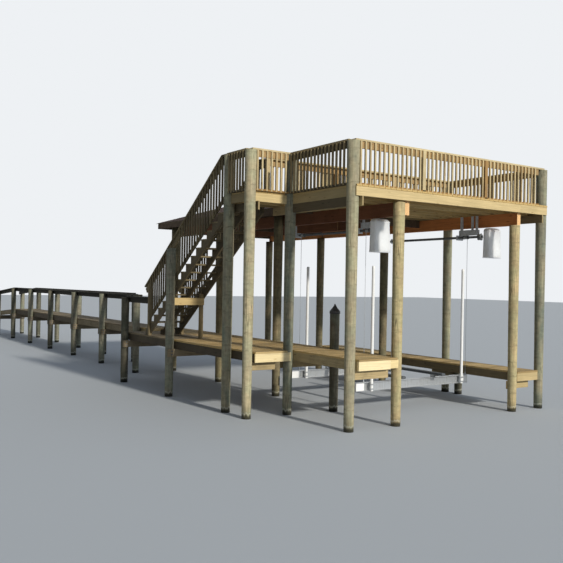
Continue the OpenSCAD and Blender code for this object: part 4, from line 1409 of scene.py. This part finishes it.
@dataclass
class Railings(SubAssembly):
    """The upper deck's railings: a flat cap, a board on edge, square balusters and posts."""

    cap_half: float = 70
    baluster_step: float = 122
    rear_post_x: float = -106.5
    front_short: float = 200
    cap_out: float = 80
    board_out: float = 62
    baluster_out: float = 100
    foot_gap: float = 5
    front_posts: tuple[float, ...] = (1830, 3730)
    right_posts: tuple[float, ...] = (1470,)

    def run(self, boards: BoardSet, at: tuple[float, float], quarter: int, length: float,
            posts: tuple[float, ...] = (), short: float = 0.0, darkening: bool = False) -> None:
        """Adds one run, its outside towards -Y before it is turned.

        Args:
            boards: Set that takes the boards.
            at: Place of its start in mm.
            quarter: Quarter turns about Z.
            length: Length in mm.
            posts: Distances of the posts from the start in mm.
            short: How far the boards under the cap stop short, in mm.
            darkening: Whether the run gets darker tones, as painted shade for a run that faces away from the
                light.
        """
        boards.place = quarter_turn((*at, 0), quarter)
        top, deck_top, t, w = PLAN.rail_under, PLAN.upper_top, PLAN.thick, PLAN.w4
        foot, under = -w - self.foot_gap, length - short
        boards.block((0, -self.cap_out, top), (length, PLAN.w6, t), Axis.X, 1.0)
        # The board under the cap and the bottom rail get dark tones as painted shade of the cap above them
        boards.block((0, -self.board_out, top - PLAN.w6), (under, t, PLAN.w6), Axis.X, 0.0 if darkening else 0.3)
        boards.block((0, foot, deck_top), (under, w, t), Axis.X, 0.0)
        for low, high in zip((0, *posts), (*posts, length)):
            gaps = round((high - low) / self.baluster_step)
            for i in range(1, gaps):
                x = low + i * (high - low) / gaps
                if x < length - short * 1.3:
                    # Five tones in a fixed order, so that neighbours differ; a darkened run starts lower, as
                    # painted shade
                    tone = (0.45 if darkening else 0.7) + i * 7 % 5 * 0.075
                    boards.block((x - t / 2, -self.baluster_out, deck_top), (t, t, top - deck_top), tone=tone)
        for x in posts:
            boards.block((x - w / 2, foot, deck_top), (w, w, top - deck_top))
        boards.place = Matrix()

    def build(self) -> None:
        """Makes the five railings, each a piece of its own; the stair head's has two."""
        width, depth, tab, row = PLAN.outer_row, PLAN.upper_depth, PLAN.tab_start, PLAN.stair_row
        half, post = self.cap_half, self.rear_post_x
        corner = width - half - 10
        long = corner - post - PLAN.w4
        front = BoardSet("front_railing_boards", 51)
        self.run(front, (0, 0), 0, width, self.front_posts, short=self.front_short)
        left = BoardSet("left_railing_boards", 52)
        self.run(left, (0, tab), -1, tab - half + 10, darkening=True)
        head = BoardSet("stair_head_railing_boards", 53)
        self.run(head, (-row, tab), 0, row - half - 10, short=30)
        side = BoardSet("stair_head_side_railing_boards", 56)
        self.run(side, (-row, depth), -1, depth - tab - half + 8, darkening=True)
        right = BoardSet("right_railing_boards", 54)
        self.run(right, (width, half - 10), 1, depth - half + 10, self.right_posts)
        rear = BoardSet("rear_railing_boards", 55)
        self.run(rear, (corner, depth - self.cap_out), 2, long, (long / 3, 2 * long / 3))
        rear.block((post, depth - 75, PLAN.upper_top), (PLAN.w4, PLAN.w4, PLAN.rail_top - PLAN.upper_top))
        for boards, node in ((front, "front_railing"), (head, "stair_head_railing"),
                             (right, "right_railing"), (rear, "rear_railing")):
            boards.build(self.shop, RAIL_LUMBER, Body.JETTY, "new_lumber", node)
        # The left railing and the stair head's side run face away from the light and take the dark frame
        # finish as painted shade
        left.build(self.shop, FRAME_LUMBER, Body.JETTY, "new_lumber", "left_railing")
        side.build(self.shop, FRAME_LUMBER, Body.JETTY, "new_lumber")


@dataclass
class Stair(SubAssembly):
    """The open stair from the landing up to the deck."""

    left: float = -1014
    right: float = -110
    top_y: float = PLAN.upper_depth + 19
    rise: float = (PLAN.upper_top - PLAN.dock_top) / PLAN.risers
    near_rail_x: float = -1020
    far_rail_x: float = -61.5
    newel_y: float = 7150
    rail_rise: float = 1090
    rail_depth: float = 170
    balusters: int = 31
    pile_gap: float = 140
    cap_past: float = 220
    baluster_past: float = 40
    foot_rail_up: float = 75
    foot_rail_depth: float = 110
    tread_board: float = 135
    second_board: float = 140
    cross_top: float = 2438
    cross_post_x: float = -245
    cross_post: float = 1138

    @property
    def bend_y(self) -> float:
        """Y at which the sloping cap meets the height of the deck's railing."""
        return self.top_y + (PLAN.upper_top + self.rail_rise - PLAN.rail_top) / self.rise * PLAN.tread_run

    def nosing(self, y: float) -> float:
        """Gives the height of the line of the nosings at Y."""
        return PLAN.upper_top - (y - self.top_y) * self.rise / PLAN.tread_run

    def build(self) -> None:
        """Makes treads, railings and posts, and dresses the notched stringers."""
        self.shop.dress("stair_stringers", STRINGER_LUMBER)
        treads = BoardSet("stair_tread_boards", 61)
        for i in range(1, PLAN.risers):
            y, z = self.top_y + (i - 1) * PLAN.tread_run + 2, PLAN.upper_top - i * self.rise - PLAN.thick
            for back in (0, self.second_board):
                treads.block((self.left - 2, y + back, z),
                             (self.right - self.left + 4, self.tread_board, PLAN.thick))
        treads.build(self.shop, STAIR_LUMBER, Body.JETTY, "new_lumber", "stair_treads")
        rails = BoardSet("stair_railing_boards", 62)
        self.railing(rails, self.near_rail_x, -1)
        self.railing(rails, self.far_rail_x, 1)
        rails.build(self.shop, STAIR_LUMBER, Body.JETTY, "new_lumber", "stair_railings")
        self.posts()

    def railing(self, boards: BoardSet, x: float, out: int) -> None:
        """Adds one side's cap, board on edge, foot rail and balusters.

        Args:
            boards: Set that takes the boards.
            x: Middle of the railing in mm.
            out: -1 or 1, the side that the balusters are on.
        """
        start, end, bend, t = self.top_y - 4, self.newel_y + self.cap_past, self.bend_y, PLAN.thick
        lean = math.cos(math.atan2(self.rise, PLAN.tread_run))
        for width, low, high in ((PLAN.w6, t, 0.0), (t, t + self.rail_depth, t)):
            middle = (low + high) / 2
            foot = (x, end, self.nosing(end) + self.rail_rise - middle)
            boards.rail((x, bend, PLAN.rail_top - middle), foot, width, (low - high) * lean)
            boards.block((x - width / 2, start, PLAN.rail_top - low),
                         (width, bend - start, low - high), Axis.Y)
        end = self.newel_y - PLAN.w4 / 2
        up = self.foot_rail_up
        boards.rail((x, start, self.nosing(start) + up), (x, end, self.nosing(end) + up), t,
                    self.foot_rail_depth * lean)
        step = (self.newel_y - start) / (self.balusters + 1)
        for i in range(1, self.balusters + 1):
            y = start + i * step
            if abs(y - STAIR_PILE[1]) > self.pile_gap and self.newel_y - y > PLAN.w4:
                top = min(self.nosing(y) + self.rail_rise, PLAN.rail_top) - t - t / 2 / lean * 0.2
                low = self.nosing(y) - self.baluster_past
                boards.block((x + out * t - t / 2, y - t / 2, low), (t, t, top - low), Axis.Z)

    def posts(self) -> None:
        """Makes the newels, the post under the stair and its cross board."""
        w, thick, y = PLAN.w4, PLAN.thick, self.newel_y
        posts = BoardSet("stair_post_boards", 63)
        long = self.nosing(y) + self.rail_rise - thick - self.rail_depth * 0.3 - PLAN.dock_top
        # The near newel's lower tone is painted shade
        for x, tone in ((self.near_rail_x, 0.35), (self.far_rail_x, 0.6)):
            posts.block((x - w / 2, y - w / 2, PLAN.dock_top), (w, w, long), Axis.Z, tone)
        y = STAIR_PILE[1] + PLAN.pile_radius(2300)
        posts.block((self.cross_post_x, y + thick + 2, PLAN.dock_top), (w, w, self.cross_post), Axis.Z, 0.7)
        posts.build(self.shop, FRAME_LUMBER, Body.JETTY, "new_lumber", "stair_posts")
        cross = BoardSet("stair_cross_board", 64)
        cross.block((STAIR_PILE[0], y, self.cross_top - PLAN.w8),
                    (self.cross_post_x + w - STAIR_PILE[0], thick, PLAN.w8), tone=0.7)
        cross.build(self.shop, NEW_LUMBER, Body.JETTY, "new_lumber")


@dataclass
class Roof(SubAssembly):
    """The low hip roof over the back of the slip."""

    left: float = 820
    right: float = 5230
    front: float = 3120
    back: float = 10780
    eave: float = 4690
    pitch: float = 1 / 3
    course: float = 140
    tab: float = 300
    tab_depth: float = 180
    tab_thick: float = 5
    hip_tab: tuple[float, float] = (190, 145)
    eave_past: float = 12
    tab_gap: float = 2
    tab_tilt: float = -1.6
    hip_tilt: float = -1.5
    hip_lift: float = 18

    @property
    def half(self) -> float:
        """Half the roof's width."""
        return (self.right - self.left) / 2

    def build(self) -> None:
        """Shingles the four slopes and the hips, and dresses the frame."""
        self.shop.dress("roof_frame", ROOF_LUMBER)
        self.shop.dress("roof_slopes", SHEATHING)
        tabs = BoardSet("roof_shingles", 71)
        long, wide = self.back - self.front, self.right - self.left
        for quarter, corner in enumerate(((self.left, self.front), (self.right, self.front),
                                          (self.right, self.back), (self.left, self.back))):
            self.slope(tabs, corner, quarter, long if quarter % 2 else wide)
        self.hips(tabs)
        tabs.build(self.shop, SHINGLES, Body.JETTY, "shingle", arris=0.0)

    def slope(self, tabs: BoardSet, corner: tuple[float, float], quarter: int, length: float) -> None:
        """Lays one slope's courses from its eave up.

        Args:
            tabs: Set that takes the tabs.
            corner: Left end of the eave, seen from outside, in mm.
            quarter: Quarter turns of the slope about Z.
            length: Length of the eave in mm.
        """
        angle = math.atan(self.pitch)
        tabs.place = quarter_turn((*corner, self.eave), quarter) @ Matrix.Rotation(angle, 4, "X")
        tilt = Matrix.Rotation(math.radians(self.tab_tilt), 4, "X")
        depth, thick = self.tab_depth * MM, self.tab_thick * MM
        for row in range(int(self.half / math.cos(angle) / self.course) + 1):
            up = row * self.course - self.eave_past
            inset = max(0.0, (up + self.course * 0.75) * math.cos(angle))
            low, high = inset, length - inset
            x = low - (row % 2) * self.tab / 2 - (low % self.tab)
            while x < high:
                a, b = max(x + self.tab_gap, low), min(x + self.tab - self.tab_gap, high)
                if b - a > 12:
                    middle = Vector(((a + b) / 2, up + self.tab_depth / 2, 8))
                    tabs.turned(middle * MM, ((b - a) * MM, depth, thick), tilt)
                x += self.tab
        tabs.place = Matrix()

    def hips(self, tabs: BoardSet) -> None:
        """Caps the four hips and the ridge with overlapping tabs bent over the edge."""
        top = self.eave + self.half * self.pitch
        middle = (self.left + self.right) / 2
        peaks = ((middle, self.front + self.half, top), (middle, self.back - self.half, top))
        lines = [((x, y, self.eave), peak)
                 for peak, y in zip(peaks, (self.front, self.back)) for x in (self.left, self.right)]
        step, size = self.course * MM, (*(side * MM for side in self.hip_tab), self.tab_thick * MM)
        lift = Vector((0, 0, self.hip_lift)) * MM
        for start, end in [*lines, peaks]:
            a, b = Vector(start) * MM, Vector(end) * MM
            run = (b - a).normalized()
            level = Vector((0, 0, 1)).cross(run).normalized()
            drop = math.atan(self.pitch) * (1 if abs(run.z) < 0.01 else 0.72)
            for side in (-1, 1):
                across = (level * math.cos(drop) * side - run.cross(level) * math.sin(drop)).normalized()
                up = run.cross(across) * side
                matrix = basis(run, up.cross(run), up) @ Matrix.Rotation(math.radians(self.hip_tilt), 4, "Y")
                for i in range(int((b - a).length / step) + 1):
                    along = (i + 0.5) * step
                    if along < (b - a).length:
                        centre = a + run * along + across * step / 2 + lift
                        tabs.turned(centre, size, matrix)


ALONG_Y = Matrix.Rotation(-math.pi / 2, 4, "X")


@dataclass
class Lift(SubAssembly):
    """The boat lift: winders under the deck, two beams, guides and bunks on cables."""

    rows: tuple[float, float] = (1350, 3800)
    left: float = 1262
    length: float = 3520
    height: float = 510
    beam_h: float = 190
    beam_w: float = 100
    end_long: float = 230
    winder_z: float = 4050
    winder_r: float = 30
    winders: tuple[float, float] = (1560, 4710)
    winder_start: float = 860
    winder_end: float = 4150
    hood_foot: float = 3545
    hood_x: tuple[float, float] = (-390, 25)
    hood_y: float = -206
    guides: tuple[float, float] = (1672, 4530)
    guide_h: float = 2760
    guide_r: float = 35
    bunks: tuple[float, float] = (2400, 3650)
    bunk_past: float = 350
    bunk_wide: float = 120
    bunk_thick: float = 60
    cable_r: float = 5

    @property
    def top(self) -> float:
        """Top of the cross beams."""
        return self.height + self.beam_h

    @property
    def drums(self) -> list[tuple[float, float]]:
        """X and Y of each cable drum."""
        return [(x, y) for x in self.winders for y in self.rows]

    def build(self) -> None:
        """Makes the pieces that stay on the jetty and those of the cradle."""
        self.shop.dress("lift_beams", ALUMINIUM)
        self.shop.dress("lift_hangers", GALVANISED)
        self.shafts()
        self.hoods()
        self.ends()
        self.posts()
        self.rests()
        self.cables()

    def shafts(self) -> None:
        """Makes the winder shafts with collars, drums and the cable wound on them."""
        shafts, boxes, wound = bmesh.new(), bmesh.new(), bmesh.new()
        r, end = self.winder_r, self.winder_end - self.winder_start
        outline = [(0, 0), (r - 3, 0), (r, 3)]
        for y in self.rows:
            at = y - self.winder_start
            outline += [(r, at - 66), (r + 16, at - 65), (r + 16, at - 60), (r + 3, at - 59),
                        (r + 3, at + 59), (r + 16, at + 60), (r + 16, at + 65), (r, at + 66)]
        outline += [(r, end - 3), (r - 3, end), (0, end)]
        for x in self.winders:
            place = Vector((x, self.winder_start, self.winder_z))
            revolve(shafts, outline, Matrix.Translation(place * MM) @ ALONG_Y, 28)
            self.gearbox(boxes, place)
        for x, y in self.drums:
            self.winding(wound, x, y)
        steel = (Body.JETTY, "galvanised_steel")
        self.shop.mould("winder_shafts", shafts, SHADED_STEEL, *steel, "lift_winders")
        self.shop.mould("winder_gearboxes", boxes, SHADED_STEEL, *steel, smooth=30)
        self.shop.mould("wound_cable", wound, CABLE_STEEL, *steel, smooth=60)

    def gearbox(self, mesh: Mesh, middle: Vector) -> None:
        """Adds a cast worm gearbox to a shaft: wheel case, worm tube, lugs and cover screws.

        Args:
            mesh: The bmesh.
            middle: The shaft's driven end in mm.
        """
        long, r = 110, 62
        half_case = [(0, 0), (r - 18, 0), (r - 14, 6), (r - 3, 8), (r, 12), (r, 34), (r + 3, 38)]
        case = half_case + [(radius, long - y) for radius, y in reversed(half_case)]
        revolve(mesh, case, Matrix.Translation(middle * MM) @ ALONG_Y, 32)
        half_worm = [(0, 0), (24, 0), (28, 3), (28, 12), (24, 15)]
        worm = half_worm + [(radius, 130 - y) for radius, y in reversed(half_worm)]
        low = Matrix.Translation((middle + Vector((-65, long / 2, -56))) * MM)
        revolve(mesh, worm, low @ Matrix.Rotation(math.pi / 2, 4, "Y"), 24)
        for i in range(8):
            angle = (i + 0.5) * math.pi / 4
            screw = middle + Vector((math.cos(angle) * (r - 10), -1, math.sin(angle) * (r - 10)))
            revolve(mesh, [(0, 0), (6, 0), (6, 9), (0, 9)], Matrix.Translation(screw * MM) @ ALONG_Y, 6)
        for side in (-1, 1):
            lug = middle + Vector((side * 38, long / 2, r - 6))
            revolve(mesh, [(0, 0), (16, 0), (13, 18), (13, 28), (0, 28)], Matrix.Translation(lug * MM), 12)

    def winding(self, mesh: Mesh, x: float, y: float) -> None:
        """Adds turns of cable round a drum.

        Args:
            mesh: The bmesh.
            x: Middle of the shaft in mm.
            y: Middle of the drum in mm.
        """
        turns, steps, sides, wide, wire = 9, 14, 6, 104, self.cable_r
        rings = []
        for i in range(turns * steps + 1):
            angle = 2 * math.pi * i / steps
            out = Vector((math.cos(angle), 0, math.sin(angle)))
            middle = Vector((x, y - wide / 2 + wide * i / (turns * steps), self.winder_z))
            middle += out * (self.winder_r + 3 + wire)
            ring = []
            for k in range(sides):
                a = 2 * math.pi * k / sides
                side = out * math.cos(a) + Vector((0, math.sin(a), 0))
                ring.append(mesh.verts.new((middle + side * wire) * MM))
            rings.append(ring)
        skin(mesh, rings)
        mesh.faces.new(rings[0])
        mesh.faces.new(rings[-1])

    def hoods(self) -> None:
        """Moulds the two tall hoods over the motors, with rounded corners and a rolled foot."""
        mesh = bmesh.new()
        for x, off in zip(self.winders, self.hood_x):
            self.hood(mesh, Vector((x + off, self.winder_start + self.hood_y, self.hood_foot)))
        self.shop.mould("motor_hoods", mesh, HOOD_PLASTIC, Body.JETTY, "white_plastic", "lift_motor_covers",
                        smooth=40)

    def hood(self, mesh: Mesh, low: Vector) -> None:
        """Adds one hood from its sections.

        Args:
            mesh: The bmesh.
            low: Low corner in mm.
        """
        # Height, low X, high X, low Y, high Y and corner radius of each section
        sections = [(0, 8, 442, 8, 197, 14), (0, 1, 449, 1, 204, 20), (14, 0, 450, 0, 205, 22),
                    (34, 1, 449, 1, 204, 22), (42, 7, 443, 7, 203, 20), (350, 15, 434, 12, 203, 22),
                    (620, 22, 424, 17, 203, 24), (628, 16, 430, 11, 205, 24), (652, 16, 430, 11, 205, 24),
                    (660, 23, 422, 18, 203, 26), (690, 36, 404, 32, 200, 34), (708, 60, 380, 52, 192, 44),
                    (715, 96, 344, 84, 172, 40)]
        rings = []
        for height, x0, x1, y0, y1, r in sections:
            ring = []
            corners = ((x1 - r, y1 - r), (x0 + r, y1 - r), (x0 + r, y0 + r), (x1 - r, y0 + r))
            for quarter, (cx, cy) in enumerate(corners):
                for k in range(6):
                    angle = (quarter + k / 5) * math.pi / 2
                    corner = Vector((cx + r * math.cos(angle), cy + r * math.sin(angle), height))
                    ring.append(mesh.verts.new((low + corner) * MM))
            rings.append(ring)
        skin(mesh, rings)
        mesh.faces.new(rings[0])
        mesh.faces.new(rings[-1])

    def ends(self) -> None:
        """Makes the white blocks that close the ends of the beams."""
        blocks = BoardSet("beam_end_blocks", 81)
        long, wide = self.end_long, self.beam_w / 2
        for y in self.rows:
            for x in (self.left, self.left + self.length - long):
                for low in (y - wide, y + 5):
                    blocks.block((x, low, self.height + 14), (long, wide - 5, self.beam_h - 28))
        blocks.build(self.shop, PIPE_PLASTIC, Body.CRADLE, "white_plastic", "lift_beam_ends", arris=5.0)

    def posts(self) -> None:
        """Makes the guide posts: plastic pipes with domed caps, each in a bolted bracket."""
        pipes = bmesh.new()
        brackets = BoardSet("guide_brackets", 82)
        r, h, z = self.guide_r, self.guide_h, self.height
        outline = [(0, 0), (r - 1, 0), (r - 1, h - 66), (r, h - 64), (r, h - 14), (r - 5, h - 5),
                   (r - 14, h), (0, h)]
        for row in self.rows:
            y = row - self.beam_w / 2
            for x in self.guides:
                revolve(pipes, outline, Matrix.Translation(Vector((x, y - r, z)) * MM))
                for up in (z + 30, z + 130):
                    brackets.block((x - r - 14, y - r - 2, up), (12, r + 2, 34))
                    brackets.block((x + r + 2, y - r - 2, up), (12, r + 2, 34))
                    brackets.block((x - r - 14, y - 2 * r - 4, up), (2 * r + 28, 5, 34))
                brackets.block((x - r - 14, y - 6, z + 20), (2 * r + 28, 6, self.beam_h - 40))
        self.shop.mould("guide_pipes", pipes, PIPE_PLASTIC, Body.CRADLE, "white_plastic", "lift_guides")
        brackets.build(self.shop, ALUMINIUM, Body.CRADLE, "lift_aluminium", arris=1.0)

    def rests(self) -> None:
        """Makes the carpeted bunks on their brackets."""
        bunks, feet = BoardSet("carpeted_bunks", 83), BoardSet("bunk_brackets", 84)
        first, last = self.rows
        for x in self.bunks:
            bunks.block((x - self.bunk_wide / 2, first - self.bunk_past, self.top + 60),
                        (self.bunk_wide, last - first + 2 * self.bunk_past, self.bunk_thick))
            for y in self.rows:
                for side in (-45, 37):
                    feet.block((x + side, y - 40, self.top), (8, 80, 62))
                feet.block((x - 45, y - 40, self.top), (90, 80, 8))
        bunks.build(self.shop, CARPET, Body.CRADLE, "grey_lumber", "lift_bunks", arris=12.0)
        feet.build(self.shop, ALUMINIUM, Body.CRADLE, "lift_aluminium", arris=1.0)

    def cables(self) -> None:
        """Runs a cable from each drum to its beam, left on no body."""
        ropes, eyes = bmesh.new(), bmesh.new()
        low, long = self.top, self.winder_z - self.top
        # Sixty steps, so that a rope stays smooth where it is stretched
        steps = 60
        outline = [(0, 0)] + [(self.cable_r, long * i / steps) for i in range(steps + 1)] + [(0, long)]
        for x, y in self.drums:
            out = self.winder_r + 18
            place = Matrix.Translation(Vector((x - out if x == self.winders[0] else x + out, y, low)) * MM)
            revolve(ropes, outline, place, 8)
            revolve(eyes, [(0, -4), (24, -4), (24, 4), (11, 8), (9, 60), (7, 64), (0, 64)], place, 16)
        lines = self.shop.mould("lift_wire_ropes", ropes, CABLE_STEEL, None, "galvanised_steel",
                                "lift_cables")
        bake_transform(lines)
        self.shop.mould("cable_sockets", eyes, GALVANISED, Body.CRADLE, "galvanised_steel")


@dataclass
class Fasteners(SubAssembly):
    """Galvanised bolts with washers where boards are carried on piles."""

    upper: UpperFrame
    walkway: list[Pile]
    cap_bolts: tuple[float, float] = (-50, -135)
    girder_bolts: tuple[float, float] = (70, 215)
    bolt_before_row: float = 30
    bolt_slant: float = 0.3

    def build(self) -> None:
        """Places every bolt and makes one piece."""
        front, back = (math.pi / 2, 0, 0), (-math.pi / 2, 0, 0)
        inward, outward = (0, math.pi / 2, 0), (0, -math.pi / 2, 0)
        side = PLAN.pile_radius(PLAN.stringer_under) + PLAN.thick
        bolts: list[tuple[Triple, Triple]] = []
        for x, y, _ in self.walkway:
            fall = PLAN.fall(y) + PLAN.cap_drop(y)
            for z in self.cap_bolts:
                low = PLAN.stringer_under + z - fall
                bolts += [((x, y - side, low), front), ((x, y + side, low), back)]
        for z in self.cap_bolts:
            bolts += [((x, y - side, PLAN.stringer_under + z), front)
                      for x, y, _ in (LANDING_PILE, STAIR_PILE)]
        for y in PLAN.rows:
            for z in self.girder_bolts:
                at = y - self.bolt_before_row + z * self.bolt_slant
                low = PLAN.joist_under - PLAN.w12 + z
                bolts += [((self.upper.left_girder + 3 * PLAN.thick, at, low), inward),
                          ((self.upper.right_girder, at, low), outward)]
        points = [tuple(value * MM for value in place) for place, _ in bolts]
        turns = {"turn": [turn for _, turn in bolts]}
        piece = self.shop.grow("bolts_and_washers", self.shop.bolts, SHADED_STEEL, points, turns)
        settle(piece, Body.JETTY, "galvanised_steel")


# Camera, lamps and floor


@dataclass
class Studio:
    """The camera at the photograph's view, a soft sun, a pale sky and a pale floor."""

    place: Triple = (-9.075, -11.044, 2.853)
    heading: float = 34.0
    pitch: float = 0.129
    roll: float = 1.0345
    lens: float = 46.98
    sensor: float = 36.0
    sunlight: Triple = (-0.06, 0.92, -0.39)
    sun_strength: float = 2.9
    sun_degrees: float = 3.0
    bright_sky: Triple = (0.55, -0.75, 0.4)
    floor_half: float = 120.0

    def build(self) -> None:
        """Makes everything round the object."""
        bpy.context.scene.view_settings.view_transform = "Standard"
        self.camera()
        self.sun()
        self.sky()
        self.floor()

    def camera(self) -> None:
        """Sets the camera; the heading is measured from +Y towards +X."""
        data = bpy.data.cameras.new("view")
        data.lens, data.clip_end = self.lens, 500
        data.sensor_width = data.sensor_height = self.sensor
        camera = new_object("view", data)
        a, t, r = (math.radians(v) for v in (90 - self.heading, self.pitch, self.roll))
        forward = Vector((math.cos(a), math.sin(a), 0))
        right = Vector((math.sin(a), -math.cos(a), 0))
        up = Vector((0, 0, 1))
        look = forward * math.cos(t) + up * math.sin(t)
        top = up * math.cos(t) - forward * math.sin(t)
        across = right * math.cos(r) + top * math.sin(r)
        rise = top * math.cos(r) - right * math.sin(r)
        camera.matrix_world = Matrix.Translation(self.place) @ basis(across, rise, -look)
        bpy.context.scene.camera = camera

    def sun(self) -> None:
        """Adds a soft sun that shines from the front, down along the walkway."""
        sun = bpy.data.lights.new("sun", "SUN")
        sun.energy = self.sun_strength
        sun.angle = math.radians(self.sun_degrees)
        sun.color = (1.0, 0.96, 0.88)
        new_object("sun", sun).rotation_euler = Vector(self.sunlight).to_track_quat("-Z", "Y").to_euler()

    def sky(self) -> None:
        """Adds a pale sky, brighter over the open water, so the faces turned away from it stay darker."""
        world = bpy.data.worlds.new("sky")
        bpy.context.scene.world = world
        world.use_nodes = True
        tree = world.node_tree
        tree.nodes.clear()
        ray = add(tree, "LightPath").node.outputs
        seen = add(tree, "Math:MAXIMUM", ray["Is Glossy Ray"], ray["Is Transmission Ray"])
        seen = add(tree, "Math:MAXIMUM", ray["Is Camera Ray"], seen)
        way = add(tree, "TexCoord", out="Generated")
        towards = add(tree, "VectorMath:DOT_PRODUCT", way, Vector(self.bright_sky).normalized())
        strength = add(tree, "Math:MULTIPLY_ADD", add(tree, "Math:MAXIMUM", towards, 0.0), 0.6, 0.09)
        light = add(tree, "Background", srgb("#d6e4f7"), strength)
        backdrop = add(tree, "Background", srgb("#eef1f4"), 1.0)
        add(tree, "OutputWorld", add(tree, "MixShader", seen, light, backdrop))

    def floor(self) -> None:
        """Adds the plain floor at the water level."""
        mesh = bpy.data.meshes.new("floor")
        far = self.floor_half
        mesh.from_pydata([(x, y, -MM) for x, y in ((-far, -far), (far, -far), (far, far), (-far, far))], [],
                         [(0, 1, 2, 3)])
        mesh.materials.append(Plain("matt_floor", "#c4c9cd").material())
        new_object("floor", mesh)


def main() -> None:
    """Builds every sub-assembly over the frame."""
    logging.basicConfig(level=logging.INFO, format="%(name)s %(message)s")
    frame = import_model()
    Studio().build()
    shop = Workshop(frame)
    piles, upper = Piles(shop), UpperFrame(shop)
    for part in (piles, Dock(shop), Walkway(shop), Catwalk(shop), upper, Railings(shop), Stair(shop),
                 Roof(shop), Lift(shop), Fasteners(shop, upper, piles.walkway())):
        LOG.info("building %s", type(part).__name__)
        part.build()


if __name__ == "__main__":
    main()
